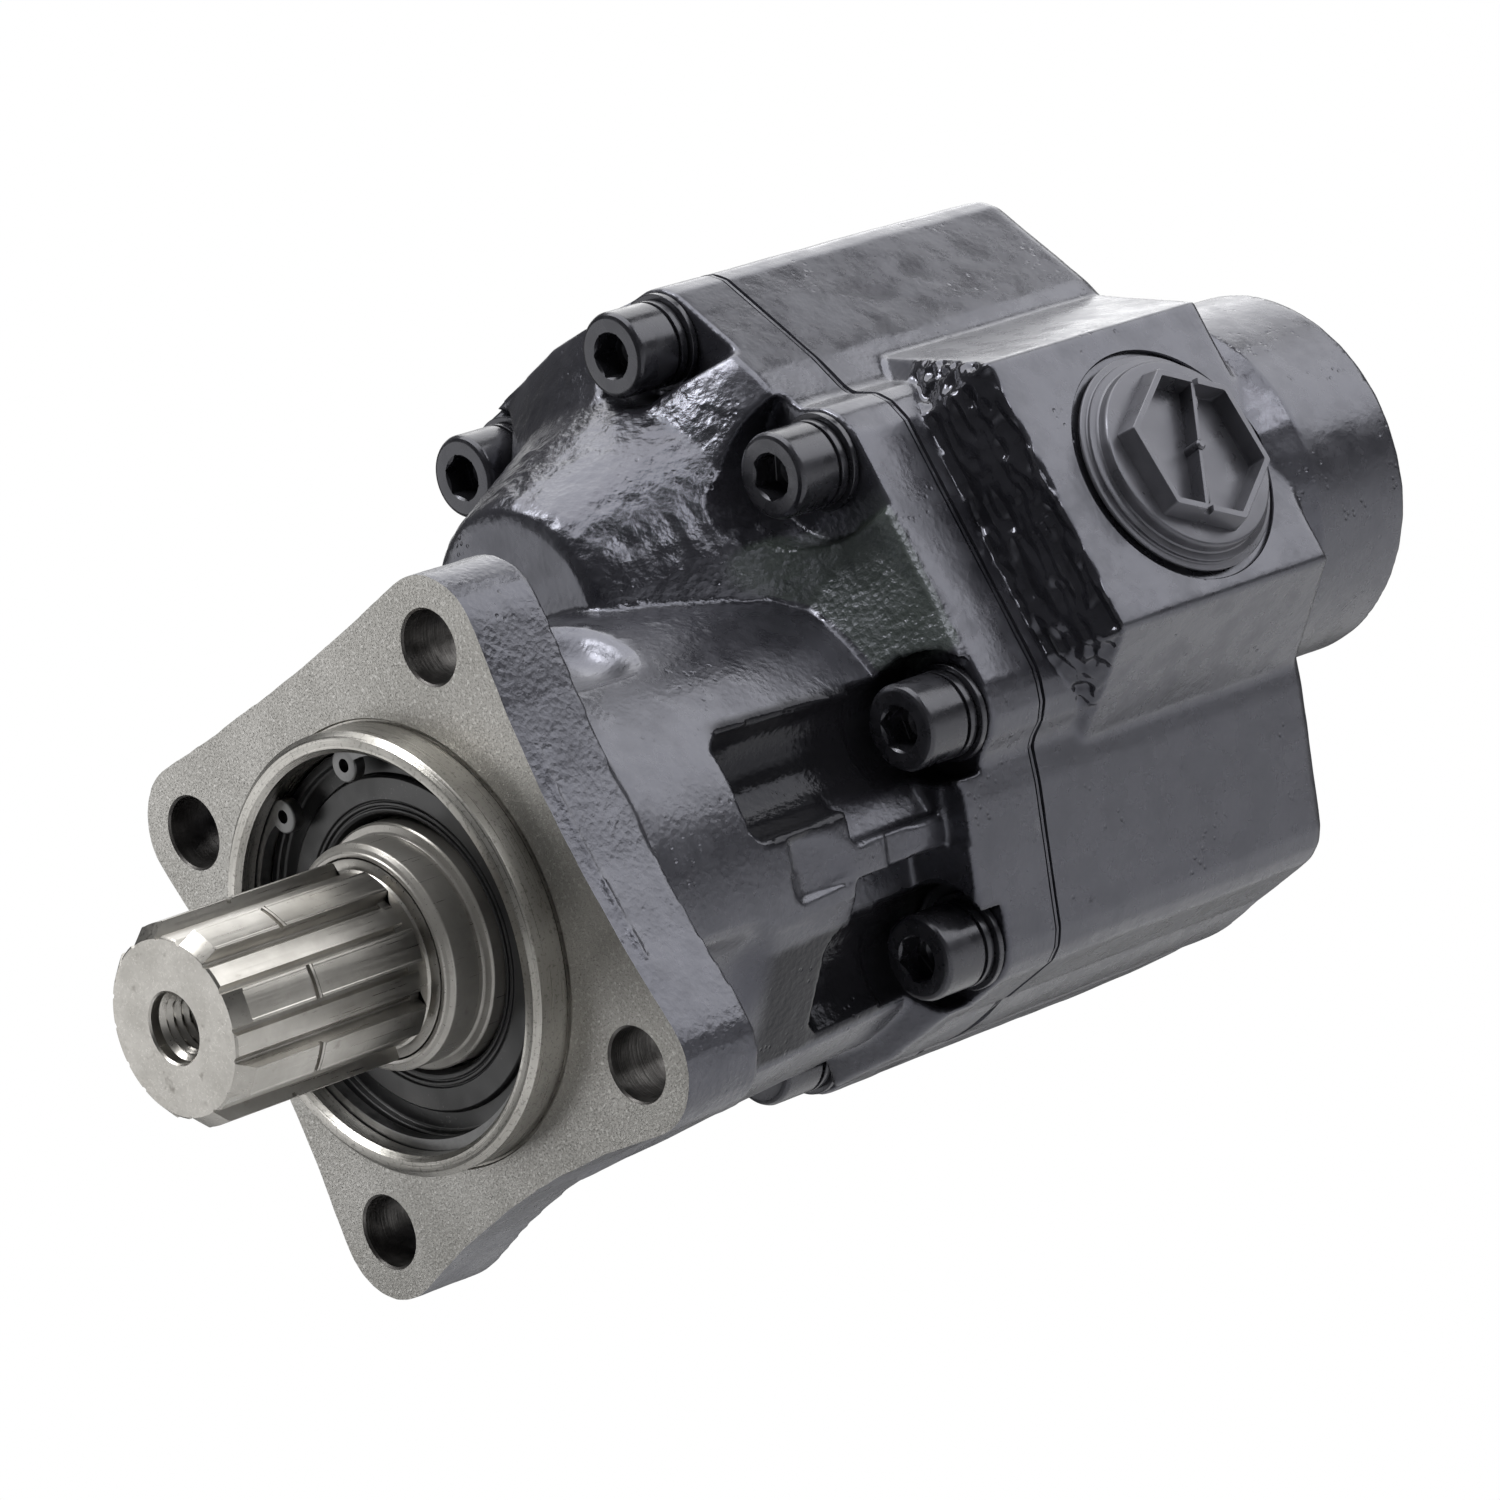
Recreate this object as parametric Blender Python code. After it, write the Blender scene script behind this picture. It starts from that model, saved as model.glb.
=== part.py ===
"""Bi-rotational external gear pump with an ISO 7653 four-bolt flange and a DIN 5462 splined shaft.

The origin is the centre of the mounting flange's front face, on the drive shaft's axis.
+Y runs back into the pump, +Z runs from the drive gear to the driven gear.
+X is to the right from the front. Every length is in metres.
"""
import math

import bmesh
import bpy
import numpy as np
from mathutils import Matrix, Vector

# Gear axes
AXIS_GAP = 0.0471
DRIVE = (0.0, 0.0)
DRIVEN = (0.0, AXIS_GAP)
MID_Z = AXIS_GAP / 2

# Mounting flange
FLANGE_BACK = 0.0168
BOLT_SQUARE = 0.040
FLANGE_HOLE_R = 0.0066
CORNER_R = 0.0127
WAISTS = {"right": 0.0494, "top": 0.0514, "left": 0.0486, "bottom": 0.0484}
NUT_SCALLOP_R = 0.0150
NUT_SCALLOP_END = 0.0440

# Pilot ring
PILOT_R = 0.0400
PILOT_FRONT = -0.0075
PILOT_BORE_R = 0.0362
SEAL_BORE_END = 0.0190
THROAT_R = 0.0270
THROAT_END = 0.0660

# Retaining ring in the pilot's bore
CLIP_GROOVE_R = 0.0380
CLIP_GROOVE_Y = (-0.0035, -0.0006)
CLIP_Y = (-0.0032, -0.0009)
CLIP_OUTER_R = 0.0376
CLIP_INNER_R = 0.0342
CLIP_GAP_MIDDLE = math.radians(91.5)
CLIP_HALF_GAP = math.radians(18.5)
EYELET_PITCH_R = 0.0333
EYELET_R = 0.0031
EYELET_HOLE_R = 0.00125

# Neck, a drafted barrel round the drive shaft
NECK_R_FRONT = 0.0489
NECK_R_REAR = 0.0446
NECK_REAR = 0.0880
FACET_EDGES = (-73.5, -33.5)
PAD_ANGLE = 25.5
PAD_EDGES = (-0.0040, 0.0073)

# Bearing boss of the driven gear
BOSS_FRONT = 0.0558
BOSS_PROFILE = [(0.0, BOSS_FRONT), (0.0203, BOSS_FRONT), (0.0228, 0.0566), (0.0245, 0.0586),
                (0.0366, 0.0846)]

# Screw flange of the cover and joint plane
WEB_EDGE_Y = 0.0946
EDGE_CUT_R = 0.1200
JOINT_Y = 0.1100
JOINT_GAP = 0.00015
JOINT_CHAMFER = 0.0008
LOBE_R = 0.0498
EAR_R = 0.0098
SIDE_X = 0.0585
OUTLINE_FILLET = 0.0040

# Screws M10
SCREWS = [(0.0255, 0.0852), (0.0482, 0.0490), (0.0482, -0.0019), (0.0255, -0.0381),
          (-0.0255, -0.0381), (-0.0482, -0.0019), (-0.0482, 0.0490), (-0.0255, 0.0852)]
HEAD_FRONT = 0.0829
HEAD_LENGTH = 0.0098
HEAD_R = 0.0080
SHANK_R = 0.0049
SCREW_END = 0.1340
SOCKET_FLAT = 0.0080
SOCKET_DEPTH = 0.0055
CLEARANCE_R = 0.0054
TAPPED_R = 0.0053
TAPPED_END = 0.1360
SPOTFACE_Y = 0.09655
SPOTFACE_R = 0.0120
TOP_SEAT_R = 0.0105
SIDE_SEAT_R = 0.0147
SPRING_WASHER_Y = (0.0930, 0.0948)
SPRING_WASHER_R = (0.0052, 0.0081)
SPRING_WASHER_HALF_GAP = 0.07
FLAT_WASHER_Y = (0.0950, 0.0963)
FLAT_WASHER_R = (0.0053, 0.0091)

# Dowels and O-ring of the joint
DOWEL_X = 0.0500
DOWEL_R = 0.0040
DOWEL_Y = (0.1025, 0.1175)
DOWEL_HOLE_R = 0.0043
DOWEL_HOLE_Y = (0.1020, 0.1180)
O_RING_GROOVE_R = (0.0313, 0.0348)
O_RING_GROOVE_DEPTH = 0.0022
O_RING_SECTION_R = 0.00105

# Rear housing
LOBE_END = 0.1860
BLOCK_X = 0.0743
BLOCK_Y = (0.1185, 0.1755)
BLOCK_Z = (-0.0033, 0.0508)
PORT_Y = 0.1500
PORT_Z = 0.0226
PORT_R = 0.0166
PORT_DEPTH = 0.0200
PASSAGE_R = 0.0130
SPOT_R = 0.0228
SPOT_DEPTH = 0.0010
CHAMBER_X = (0.0100, 0.0460)
CHAMBER_Y = (0.1190, 0.1510)
CHAMBER_HALF_Z = 0.0085
PLUG_PHASE = math.radians(34.6)
PLUG_RIB_ANGLE = math.radians(-63.0)
REAR_X = 0.0431
REAR_R = 0.0349
REAR_END = 0.2055

# Gears
TEETH = 12
PITCH_R = AXIS_GAP / 2
MODULE = AXIS_GAP / TEETH
PRESSURE_ANGLE = math.radians(28.0)
TIP_R = 0.02725
ROOT_R = 0.0190
BACKLASH = 0.0005
GEAR_Y = (0.1152, 0.1512)
CASE_R = 0.0276
CASE_END = 0.1564
JOURNAL_R = 0.0179
BUSH_R = 0.0220
BUSH_BORE_R = 0.0182
BUSH_SEAT_R = 0.0223
BUSH_SEAT_END = 0.1780
FRONT_DRIVE_SEAT_Y = 0.0690
FRONT_DRIVEN_SEAT_Y = 0.0610
FRONT_DRIVE_BUSH_Y = (0.0693, 0.1096)
FRONT_DRIVEN_BUSH_Y = (0.0640, 0.1096)
REAR_BUSH_Y = (0.1567, 0.1770)
FRONT_PLATE_Y = (0.1104, 0.1149)
REAR_PLATE_Y = (0.1515, 0.1560)
JOURNAL_END = 0.1765
DRIVEN_JOURNAL_FRONT = 0.0625

# Shaft end, spline 8 x 32 x 36
SHAFT_END = -0.0540
SPLINE_END = -0.0123
SPLINE_LANDS = 8
SPLINE_OUTER_R = 0.0180
SPLINE_ROOT_R = 0.0160
SPLINE_LAND_WIDTH = 0.0060
SPLINE_PHASE = math.radians(-12.0)
CENTRE_HOLE_R = 0.0052
SLEEVE_BORE_R = 0.0182
SEAL_FRONTS = {"outer_shaft_seal": 0.0002, "inner_shaft_seal": 0.0090}

SHEET_GAP = 0.0003

COLOURS = {
    "black_paint": ((0.012, 0.012, 0.015), 0.25, 0.0),
    "ground_steel": ((0.55, 0.53, 0.50), 0.28, 1.0),
    "black_steel": ((0.02, 0.02, 0.022), 0.35, 0.6),
    "seal_rubber": ((0.012, 0.012, 0.013), 0.45, 0.0),
    "spring_steel": ((0.06, 0.06, 0.06), 0.38, 0.8),
    "bronze": ((0.55, 0.36, 0.16), 0.35, 1.0),
    "plug_plastic": ((0.015, 0.015, 0.017), 0.30, 0.0),
}


def clear_scene():
    for item in list(bpy.data.objects):
        bpy.data.objects.remove(item, do_unlink=True)


def make_material(name):
    colour, roughness, metallic = COLOURS[name]
    material = bpy.data.materials.new(name)
    material.use_nodes = True
    shader = material.node_tree.nodes["Principled BSDF"]
    shader.inputs["Base Color"].default_value = (*colour, 1.0)
    shader.inputs["Roughness"].default_value = roughness
    shader.inputs["Metallic"].default_value = metallic
    return material


def add_object(name, bm, material=None):
    bmesh.ops.recalc_face_normals(bm, faces=bm.faces)
    mesh = bpy.data.meshes.new(name)
    bm.to_mesh(mesh)
    bm.free()
    item = bpy.data.objects.new(name, mesh)
    bpy.context.scene.collection.objects.link(item)
    if material is not None:
        mesh.materials.append(material)
    return item


def boolean(target, tool, operation):
    """Apply one exact Boolean to the target and remove the tool."""
    modifier = target.modifiers.new(operation, "BOOLEAN")
    modifier.operation = operation
    modifier.solver = "EXACT"
    modifier.object = tool
    depsgraph = bpy.context.evaluated_depsgraph_get()
    result = bpy.data.meshes.new_from_object(target.evaluated_get(depsgraph))
    target.modifiers.clear()
    target.data = result
    weld(result)
    bpy.data.objects.remove(tool, do_unlink=True)
    return target


def weld(mesh):
    """Close hairline slivers that a cut leaves along its edges."""
    bm = bmesh.new()
    bm.from_mesh(mesh)
    bmesh.ops.remove_doubles(bm, verts=bm.verts, dist=4e-6)
    bmesh.ops.dissolve_degenerate(bm, dist=4e-6, edges=bm.edges)
    bm.to_mesh(mesh)
    bm.free()


def cut(target, *tools):
    for tool in tools:
        boolean(target, tool, "DIFFERENCE")
    return target


def join(target, *tools):
    for tool in tools:
        boolean(target, tool, "UNION")
    return target


def tidy(item):
    """Weld stray doubles and shade the round faces smooth."""
    bm = bmesh.new()
    bm.from_mesh(item.data)
    bmesh.ops.remove_doubles(bm, verts=bm.verts, dist=2e-6)
    bmesh.ops.dissolve_degenerate(bm, dist=2e-6, edges=bm.edges)
    bmesh.ops.dissolve_limit(bm, angle_limit=math.radians(0.6), verts=bm.verts, edges=bm.edges)
    bmesh.ops.triangulate(bm, faces=bm.faces)
    bm.to_mesh(item.data)
    bm.free()
    item.data.shade_smooth()
    item.data.set_sharp_from_angle(angle=math.radians(32))
    return item


def loft(name, rings, material=None):
    """Close a stack of (outline, y) rings, each outline a list of (x, z) with the same count."""
    bm = bmesh.new()
    rows = []
    for outline, y in rings:
        rows.append([bm.verts.new((x, y, z)) for x, z in outline])
    for low, high in zip(rows, rows[1:]):
        count = len(low)
        for i in range(count):
            j = (i + 1) % count
            bm.faces.new((low[i], low[j], high[j], high[i]))
    bm.faces.new(rows[0])
    bm.faces.new(rows[-1])
    return add_object(name, bm, material)


def prism(name, outline, y0, y1, material=None):
    return loft(name, [(outline, y0), (outline, y1)], material)


def lathe(name, profile, centre=(0.0, 0.0), segments=32, material=None):
    """Turn a closed (radius, y) profile about the Y axis through centre (x, z)."""
    bm = bmesh.new()
    rows = []
    for radius, y in profile:
        if radius < 1e-9:
            rows.append([bm.verts.new((centre[0], y, centre[1]))])
            continue
        row = []
        for i in range(segments):
            a = 2 * math.pi * i / segments
            x, z = centre[0] + radius * math.cos(a), centre[1] + radius * math.sin(a)
            row.append(bm.verts.new((x, y, z)))
        rows.append(row)
    pairs = list(zip(rows, rows[1:]))
    if len(rows[0]) > 1 and len(rows[-1]) > 1:
        pairs.append((rows[-1], rows[0]))
    for low, high in pairs:
        for i in range(segments):
            j = (i + 1) % segments
            corners = [low[i % len(low)], low[j % len(low)], high[j % len(high)], high[i % len(high)]]
            unique = list(dict.fromkeys(corners))
            if len(unique) > 2:
                bm.faces.new(unique)
    return add_object(name, bm, material)


def rod(name, centre, radius, y0, y1, segments=32, material=None):
    return lathe(name, [(0, y0), (radius, y0), (radius, y1), (0, y1)], centre, segments, material)


def box(name, low, high, material=None):
    bm = bmesh.new()
    bmesh.ops.create_cube(bm, size=1.0)
    size = Vector(high) - Vector(low)
    middle = (Vector(high) + Vector(low)) / 2
    placed = Matrix.Translation(middle) @ Matrix.Diagonal((*size, 1.0))
    bmesh.ops.transform(bm, matrix=placed, verts=bm.verts)
    return add_object(name, bm, material)


def hull(name, points, material=None):
    bm = bmesh.new()
    verts = [bm.verts.new(p) for p in points]
    done = bmesh.ops.convex_hull(bm, input=verts)
    inside = [v for v in done["geom_interior"] if isinstance(v, bmesh.types.BMVert)]
    bmesh.ops.delete(bm, geom=inside, context="VERTS")
    return add_object(name, bm, material)


def turn(item, matrix):
    item.data.transform(matrix)
    if matrix.determinant() < 0:
        item.data.flip_normals()
    return item


def circle_reach(origin, angles, centre, radius):
    """Far distance at which rays from origin leave a circle, zero where they miss it."""
    dx, dz = np.cos(angles), np.sin(angles)
    ox, oz = centre[0] - origin[0], centre[1] - origin[1]
    along = dx * ox + dz * oz
    inside = radius ** 2 - (ox ** 2 + oz ** 2 - along ** 2)
    reach = along + np.sqrt(np.maximum(inside, 0))
    return np.where(inside > 0, np.maximum(reach, 0), 0)


def box_reach(origin, angles, half_x, z0, z1):
    dx, dz = np.cos(angles), np.sin(angles)
    along_x = half_x / np.maximum(np.abs(dx), 1e-9)
    top = (z1 - origin[1]) / np.maximum(dz, 1e-9)
    bottom = (z0 - origin[1]) / np.minimum(dz, -1e-9)
    return np.minimum(along_x, np.where(dz > 0, top, bottom))


def wrapped_reach(origin, angles, circles):
    """Distance from the origin to a belt stretched round several circles, along each angle."""
    normals = np.radians(np.arange(0.0, 360.0, 0.5))
    supports = [(x - origin[0]) * np.cos(normals) + (z - origin[1]) * np.sin(normals) + radius
                for (x, z), radius in circles]
    facing = np.cos(angles[:, None] - normals[None, :])
    crossing = np.where(facing > 0.05, np.max(supports, axis=0) / np.maximum(facing, 0.05), 1.0)
    return crossing.min(axis=1)


def fillet_outline(origin, angles, reach, radius):
    """Round the hollow corners of a star-shaped outline by rolling a circle round its outside."""
    px = origin[0] + reach * np.cos(angles)
    pz = origin[1] + reach * np.sin(angles)
    grown = np.zeros_like(reach)
    for x, z in zip(px, pz):
        grown = np.maximum(grown, circle_reach(origin, angles, (x, z), radius))
    gx = origin[0] + grown * np.cos(angles)
    gz = origin[1] + grown * np.sin(angles)
    shrunk = np.full_like(reach, 1.0)
    dx, dz = np.cos(angles), np.sin(angles)
    for x, z in zip(gx, gz):
        ox, oz = x - origin[0], z - origin[1]
        along = dx * ox + dz * oz
        inside = radius ** 2 - (ox ** 2 + oz ** 2 - along ** 2)
        near = along - np.sqrt(np.maximum(inside, 0))
        shrunk = np.minimum(shrunk, np.where((inside > 0) & (along > 0), near, 1.0))
    return shrunk


def thin_out(points, tolerance):
    """Drop points of an open run that lie within tolerance of the chord past them."""
    kept = [points[0]]
    start = 0
    i = 2
    while i < len(points):
        a, b = Vector(points[start]), Vector(points[i])
        chord = (b - a).normalized()
        worst = 0.0
        for p in points[start + 1:i]:
            offset = Vector(p) - a
            worst = max(worst, abs(chord.x * offset.y - chord.y * offset.x))
        if worst > tolerance:
            kept.append(points[i - 1])
            start = i - 1
        i += 1
    kept.append(points[-1])
    return kept


def body_outline():
    """The oblong outline that the cover flange and the housing share."""
    origin = (0.0, MID_Z)
    angles = np.radians(np.linspace(-90, 270, 1441)[:-1])
    reach = box_reach(origin, angles, SIDE_X, -0.0019, 0.0490)
    for lobe, ears in ((DRIVE, SCREWS[3:5]), (DRIVEN, [SCREWS[0], SCREWS[7]])):
        circles = [(lobe, LOBE_R)] + [(ear, EAR_R) for ear in ears]
        reach = np.maximum(reach, wrapped_reach(origin, angles, circles))
    for ear in SCREWS[1:3] + SCREWS[5:7]:
        reach = np.maximum(reach, circle_reach(origin, angles, ear, EAR_R))
    reach = fillet_outline(origin, angles, reach, OUTLINE_FILLET)
    right = [(r * math.cos(a), MID_Z + r * math.sin(a)) for a, r in zip(angles[:721], reach[:721])]
    right[0] = (0.0, right[0][1])
    right[-1] = (0.0, right[-1][1])
    right = thin_out(right, 0.00018)
    left = [(-x, z) for x, z in reversed(right[1:-1])]
    return right + left


def inset(outline, distance):
    """Move each point of a closed anticlockwise outline inward along its own normal."""
    moved = []
    count = len(outline)
    for i, (x, z) in enumerate(outline):
        before = Vector(outline[i - 1])
        after = Vector(outline[(i + 1) % count])
        here = Vector((x, z))
        normal = Vector((0.0, 0.0))
        for run in (here - before, after - here):
            unit = run.normalized()
            normal += Vector((-unit.y, unit.x))
        normal.normalize()
        moved.append((x + normal.x * distance, z + normal.y * distance))
    return moved


def flange_outline():
    """Four corner discs joined by shallow hollow arcs."""
    corners = [(1, -1), (1, 1), (-1, 1), (-1, -1)]
    sides = ["right", "top", "left", "bottom"]
    points = []
    for k, name in enumerate(sides):
        start = Vector(corners[k]) * BOLT_SQUARE
        end = Vector(corners[(k + 1) % 4]) * BOLT_SQUARE
        out = Vector(((start + end) / 2).normalized())
        waist = WAISTS[name]
        drop = waist - BOLT_SQUARE
        arc_r = (BOLT_SQUARE ** 2 + drop ** 2 - CORNER_R ** 2) / (2 * (CORNER_R - drop))
        arc_centre = out * (waist + arc_r)
        first = start + (arc_centre - start).normalized() * CORNER_R
        last = end + (arc_centre - end).normalized() * CORNER_R
        a0 = math.atan2(*(first - arc_centre).yx)
        a1 = math.atan2(*(last - arc_centre).yx)
        turn_by = (a1 - a0 + math.pi) % (2 * math.pi) - math.pi
        for i in range(6):
            a = a0 + turn_by * i / 5
            points.append((arc_centre.x + arc_r * math.cos(a), arc_centre.y + arc_r * math.sin(a)))
        following = sides[(k + 1) % 4]
        next_out = Vector(((Vector(corners[(k + 1) % 4]) + Vector(corners[(k + 2) % 4])) / 2).normalized())
        next_drop = WAISTS[following] - BOLT_SQUARE
        next_r = (BOLT_SQUARE ** 2 + next_drop ** 2 - CORNER_R ** 2) / (2 * (CORNER_R - next_drop))
        next_centre = next_out * (WAISTS[following] + next_r)
        b0 = math.atan2(*(arc_centre - end).yx)
        b1 = math.atan2(*(next_centre - end).yx)
        sweep = (b1 - b0) % (2 * math.pi)
        for i in range(1, 8):
            b = b0 + sweep * i / 8
            points.append((end.x + CORNER_R * math.cos(b), end.y + CORNER_R * math.sin(b)))
    return points


def neck_ring(radius):
    """A circle with two flats low on its sides."""
    low, high = FACET_EDGES
    middle = math.radians((low + high) / 2)
    half = math.radians((high - low) / 2)
    degrees = [10.0 * i for i in range(-9, 27)]
    degrees += [low, high, -180 - high + 360, -180 - low + 360]
    degrees = sorted({round(d, 3) for d in degrees})
    points = []
    for d in degrees:
        a = math.radians(d)
        r = radius
        for flat in (middle, math.pi - middle):
            off = (a - flat + math.pi) % (2 * math.pi) - math.pi
            if abs(off) < half:
                r = radius * math.cos(half) / math.cos(off)
        points.append((r * math.cos(a), r * math.sin(a)))
    return points


def neck_radius(y):
    return NECK_R_FRONT + (NECK_R_REAR - NECK_R_FRONT) * (y - FLANGE_BACK) / (NECK_REAR - FLANGE_BACK)


def stadium(radius, steps=12):
    """Two half circles about the gear axes joined by straight sides."""
    points = []
    for i in range(steps + 1):
        a = math.pi + math.pi * i / steps
        points.append((radius * math.cos(a), radius * math.sin(a)))
    for i in range(steps + 1):
        a = math.pi * i / steps
        points.append((radius * math.cos(a), AXIS_GAP + radius * math.sin(a)))
    return points


def gear_outline(centre, first_tooth):
    """Involute teeth, anticlockwise, with the first tooth's middle at the given angle."""
    base = PITCH_R * math.cos(PRESSURE_ANGLE)
    thickness = math.pi * MODULE / 2 - BACKLASH / 2
    half_pitch = thickness / (2 * PITCH_R) + math.tan(PRESSURE_ANGLE) - PRESSURE_ANGLE

    def half_angle(radius):
        if radius <= base:
            return half_pitch
        a = math.acos(base / radius)
        return half_pitch - (math.tan(a) - a)

    radii = [base + (TIP_R - base) * i / 3 for i in range(4)]
    points = []
    for tooth in range(TEETH):
        middle = first_tooth + 2 * math.pi * tooth / TEETH
        flank = [(ROOT_R, half_angle(base) + 0.02)] + [(r, half_angle(r)) for r in radii]
        for radius, half in flank:
            points.append((radius, middle - half))
        for radius, half in reversed(flank):
            points.append((radius, middle + half))
    return [(centre[0] + r * math.cos(a), centre[1] + r * math.sin(a)) for r, a in points]


def hexagon(flat, centre=(0.0, 0.0), phase=0.0):
    corner = flat / math.sqrt(3)
    points = []
    for i in range(6):
        a = phase + math.pi * i / 3
        points.append((centre[0] + corner * math.cos(a), centre[1] + corner * math.sin(a)))
    return points


def build_front_cover(material, outline):
    cover = prism("front_cover", flange_outline(), 0.0, FLANGE_BACK, material)
    join(cover, lathe("pilot", [(0, PILOT_FRONT), (0.0388, PILOT_FRONT), (PILOT_R, -0.0063),
                                (PILOT_R, 0.002), (0, 0.002)], segments=40))
    rear_radius = neck_radius(0.101)
    join(cover, loft("neck", [(neck_ring(NECK_R_FRONT + 0.0003), FLANGE_BACK - 0.004),
                              (neck_ring(rear_radius), 0.101)]))
    slopes = lathe("driven_side", BOSS_PROFILE + [(0.0500, WEB_EDGE_Y), (EDGE_CUT_R, WEB_EDGE_Y),
                                                  (EDGE_CUT_R, 0.1120), (0, 0.1120)], DRIVEN, 36)
    join(slopes, lathe("drive_side", [(0, 0.0840), (0.0385, 0.0851), (0.0600, WEB_EDGE_Y),
                                      (0.1205, WEB_EDGE_Y + 0.0003), (0.1205, 0.1125), (0, 0.1125)],
                       DRIVE, 36))
    rear = JOINT_Y - JOINT_GAP
    edge = loft("edge", [(outline, 0.050), (outline, rear - JOINT_CHAMFER),
                         (inset(outline, JOINT_CHAMFER), rear)])
    boolean(slopes, edge, "INTERSECT")
    join(cover, slopes)
    for x in (-BOLT_SQUARE, BOLT_SQUARE):
        for z in (-BOLT_SQUARE, BOLT_SQUARE):
            cut(cover, lathe("scallop", [(0, -0.01), (FLANGE_HOLE_R, -0.01), (FLANGE_HOLE_R, FLANGE_BACK),
                                         (NUT_SCALLOP_R, FLANGE_BACK), (NUT_SCALLOP_R, 0.0390),
                                         (0.0125, 0.0428), (0, NUT_SCALLOP_END)], (x, z), 24))
    cut_screw_pockets(cover)
    cut_pads(cover)
    cut(cover, lathe("shaft_bore", [(0, -0.0200), (0.0371, -0.0200), (0.0371, PILOT_FRONT),
                                    (PILOT_BORE_R, -0.0065), (PILOT_BORE_R, CLIP_GROOVE_Y[0]),
                                    (CLIP_GROOVE_R, CLIP_GROOVE_Y[0]), (CLIP_GROOVE_R, CLIP_GROOVE_Y[1]),
                                    (PILOT_BORE_R, CLIP_GROOVE_Y[1]), (PILOT_BORE_R, SEAL_BORE_END),
                                    (THROAT_R, SEAL_BORE_END), (THROAT_R, THROAT_END),
                                    (0.0190, THROAT_END), (0.0190, FRONT_DRIVE_SEAT_Y),
                                    (BUSH_SEAT_R, FRONT_DRIVE_SEAT_Y), (BUSH_SEAT_R, 0.1150), (0, 0.1150)],
                     DRIVE, 40))
    cut(cover, rod("driven_bore", DRIVEN, BUSH_SEAT_R, FRONT_DRIVEN_SEAT_Y, 0.1160, 32))
    for side in (-1, 1):
        cut(cover, rod("dowel_hole", (side * DOWEL_X, MID_Z), DOWEL_HOLE_R, DOWEL_HOLE_Y[0], 0.1150, 12))
    return cover


def seat_outline(centre, radius, side):
    """A half circle round a screw, open to the side of the casting."""
    open_x = centre[0] + side * 0.030
    points = [(open_x, centre[1] - radius), (open_x, centre[1] + radius)]
    for i in range(13):
        a = math.pi * (0.5 + i / 12)
        points.append((centre[0] + side * radius * math.cos(a), centre[1] + radius * math.sin(a)))
    return points


def cut_screw_pockets(cover):
    """A milled seat round each screw, with a long pocket ahead of the screws that the neck would cover."""
    open_seats = {0: TOP_SEAT_R, 1: SIDE_SEAT_R, 6: SIDE_SEAT_R, 7: TOP_SEAT_R}
    pockets = {2: (0.0420, 0.0106), 3: (0.0600, 0.0110), 4: (0.0600, 0.0110), 5: (0.0420, 0.0106)}
    for k, (x, z) in enumerate(SCREWS):
        if k in open_seats:
            side = 1 if x > 0 else -1
            cut(cover, prism("screw_seat", seat_outline((x, z), open_seats[k], side), 0.0700, SPOTFACE_Y))
            cut(cover, rod("screw_hole", (x, z), CLEARANCE_R, 0.0900, 0.1150, 20))
        else:
            start, radius = pockets[k]
            cut(cover, lathe("screw_pocket", [(0, start), (radius - 0.0025, start), (radius, start + 0.0025),
                                              (radius, 0.0800), (SPOTFACE_R, 0.0800),
                                              (SPOTFACE_R, SPOTFACE_Y), (CLEARANCE_R, SPOTFACE_Y),
                                              (CLEARANCE_R, 0.1150), (0, 0.1150)], (x, z), 20))
    for side in (-1, 1):
        low = (min(side * 0.0385, side * 0.075), 0.0660, -0.0168)
        high = (max(side * 0.0385, side * 0.075), 0.0900, -0.0050)
        cut(cover, box("pocket_widening", low, high))
        low = (0.0345, 0.0655, -0.0165)
        high = (0.0750, 0.0905, PAD_EDGES[0] - 0.0001)
        widening = turn(box("lower_widening", low, high), Matrix.Rotation(math.radians(PAD_ANGLE), 4, "Y"))
        if side < 0:
            turn(widening, Matrix.Scale(-1, 4, (1, 0, 0)))
        cut(cover, widening)


def cut_pads(cover):
    """A stepped flat between the side screw's pocket and the lower screw's pocket."""
    steps = [(0.0455, 0.0500), (0.0455, 0.0745), (0.0443, 0.0745), (0.0443, 0.0910), (0.0600, 0.0910),
             (0.0600, 0.0500)]
    for side in (-1, 1):
        bm = bmesh.new()
        low = [bm.verts.new((r, y, PAD_EDGES[0])) for r, y in steps]
        high = [bm.verts.new((r, y, PAD_EDGES[1])) for r, y in steps]
        for i in range(len(steps)):
            j = (i + 1) % len(steps)
            bm.faces.new((low[i], low[j], high[j], high[i]))
        bm.faces.new(low)
        bm.faces.new(high)
        pad = add_object("pad", bm)
        turn(pad, Matrix.Rotation(math.radians(PAD_ANGLE), 4, "Y"))
        if side < 0:
            turn(pad, Matrix.Scale(-1, 4, (1, 0, 0)))
        cut(cover, pad)


def side_port(name, profile, side, segments=28):
    """Turn a (radius, distance out along X) profile about a side port's axis."""
    item = lathe(name, [(r, -d) for r, d in profile], segments=segments)
    turn(item, Matrix.Rotation(math.radians(-90), 4, "Z"))
    turn(item, Matrix.Scale(-1, 4, (1, 0, 0)))
    if side < 0:
        turn(item, Matrix.Scale(-1, 4, (1, 0, 0)))
    turn(item, Matrix.Translation((0, PORT_Y, PORT_Z)))
    return item


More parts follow.
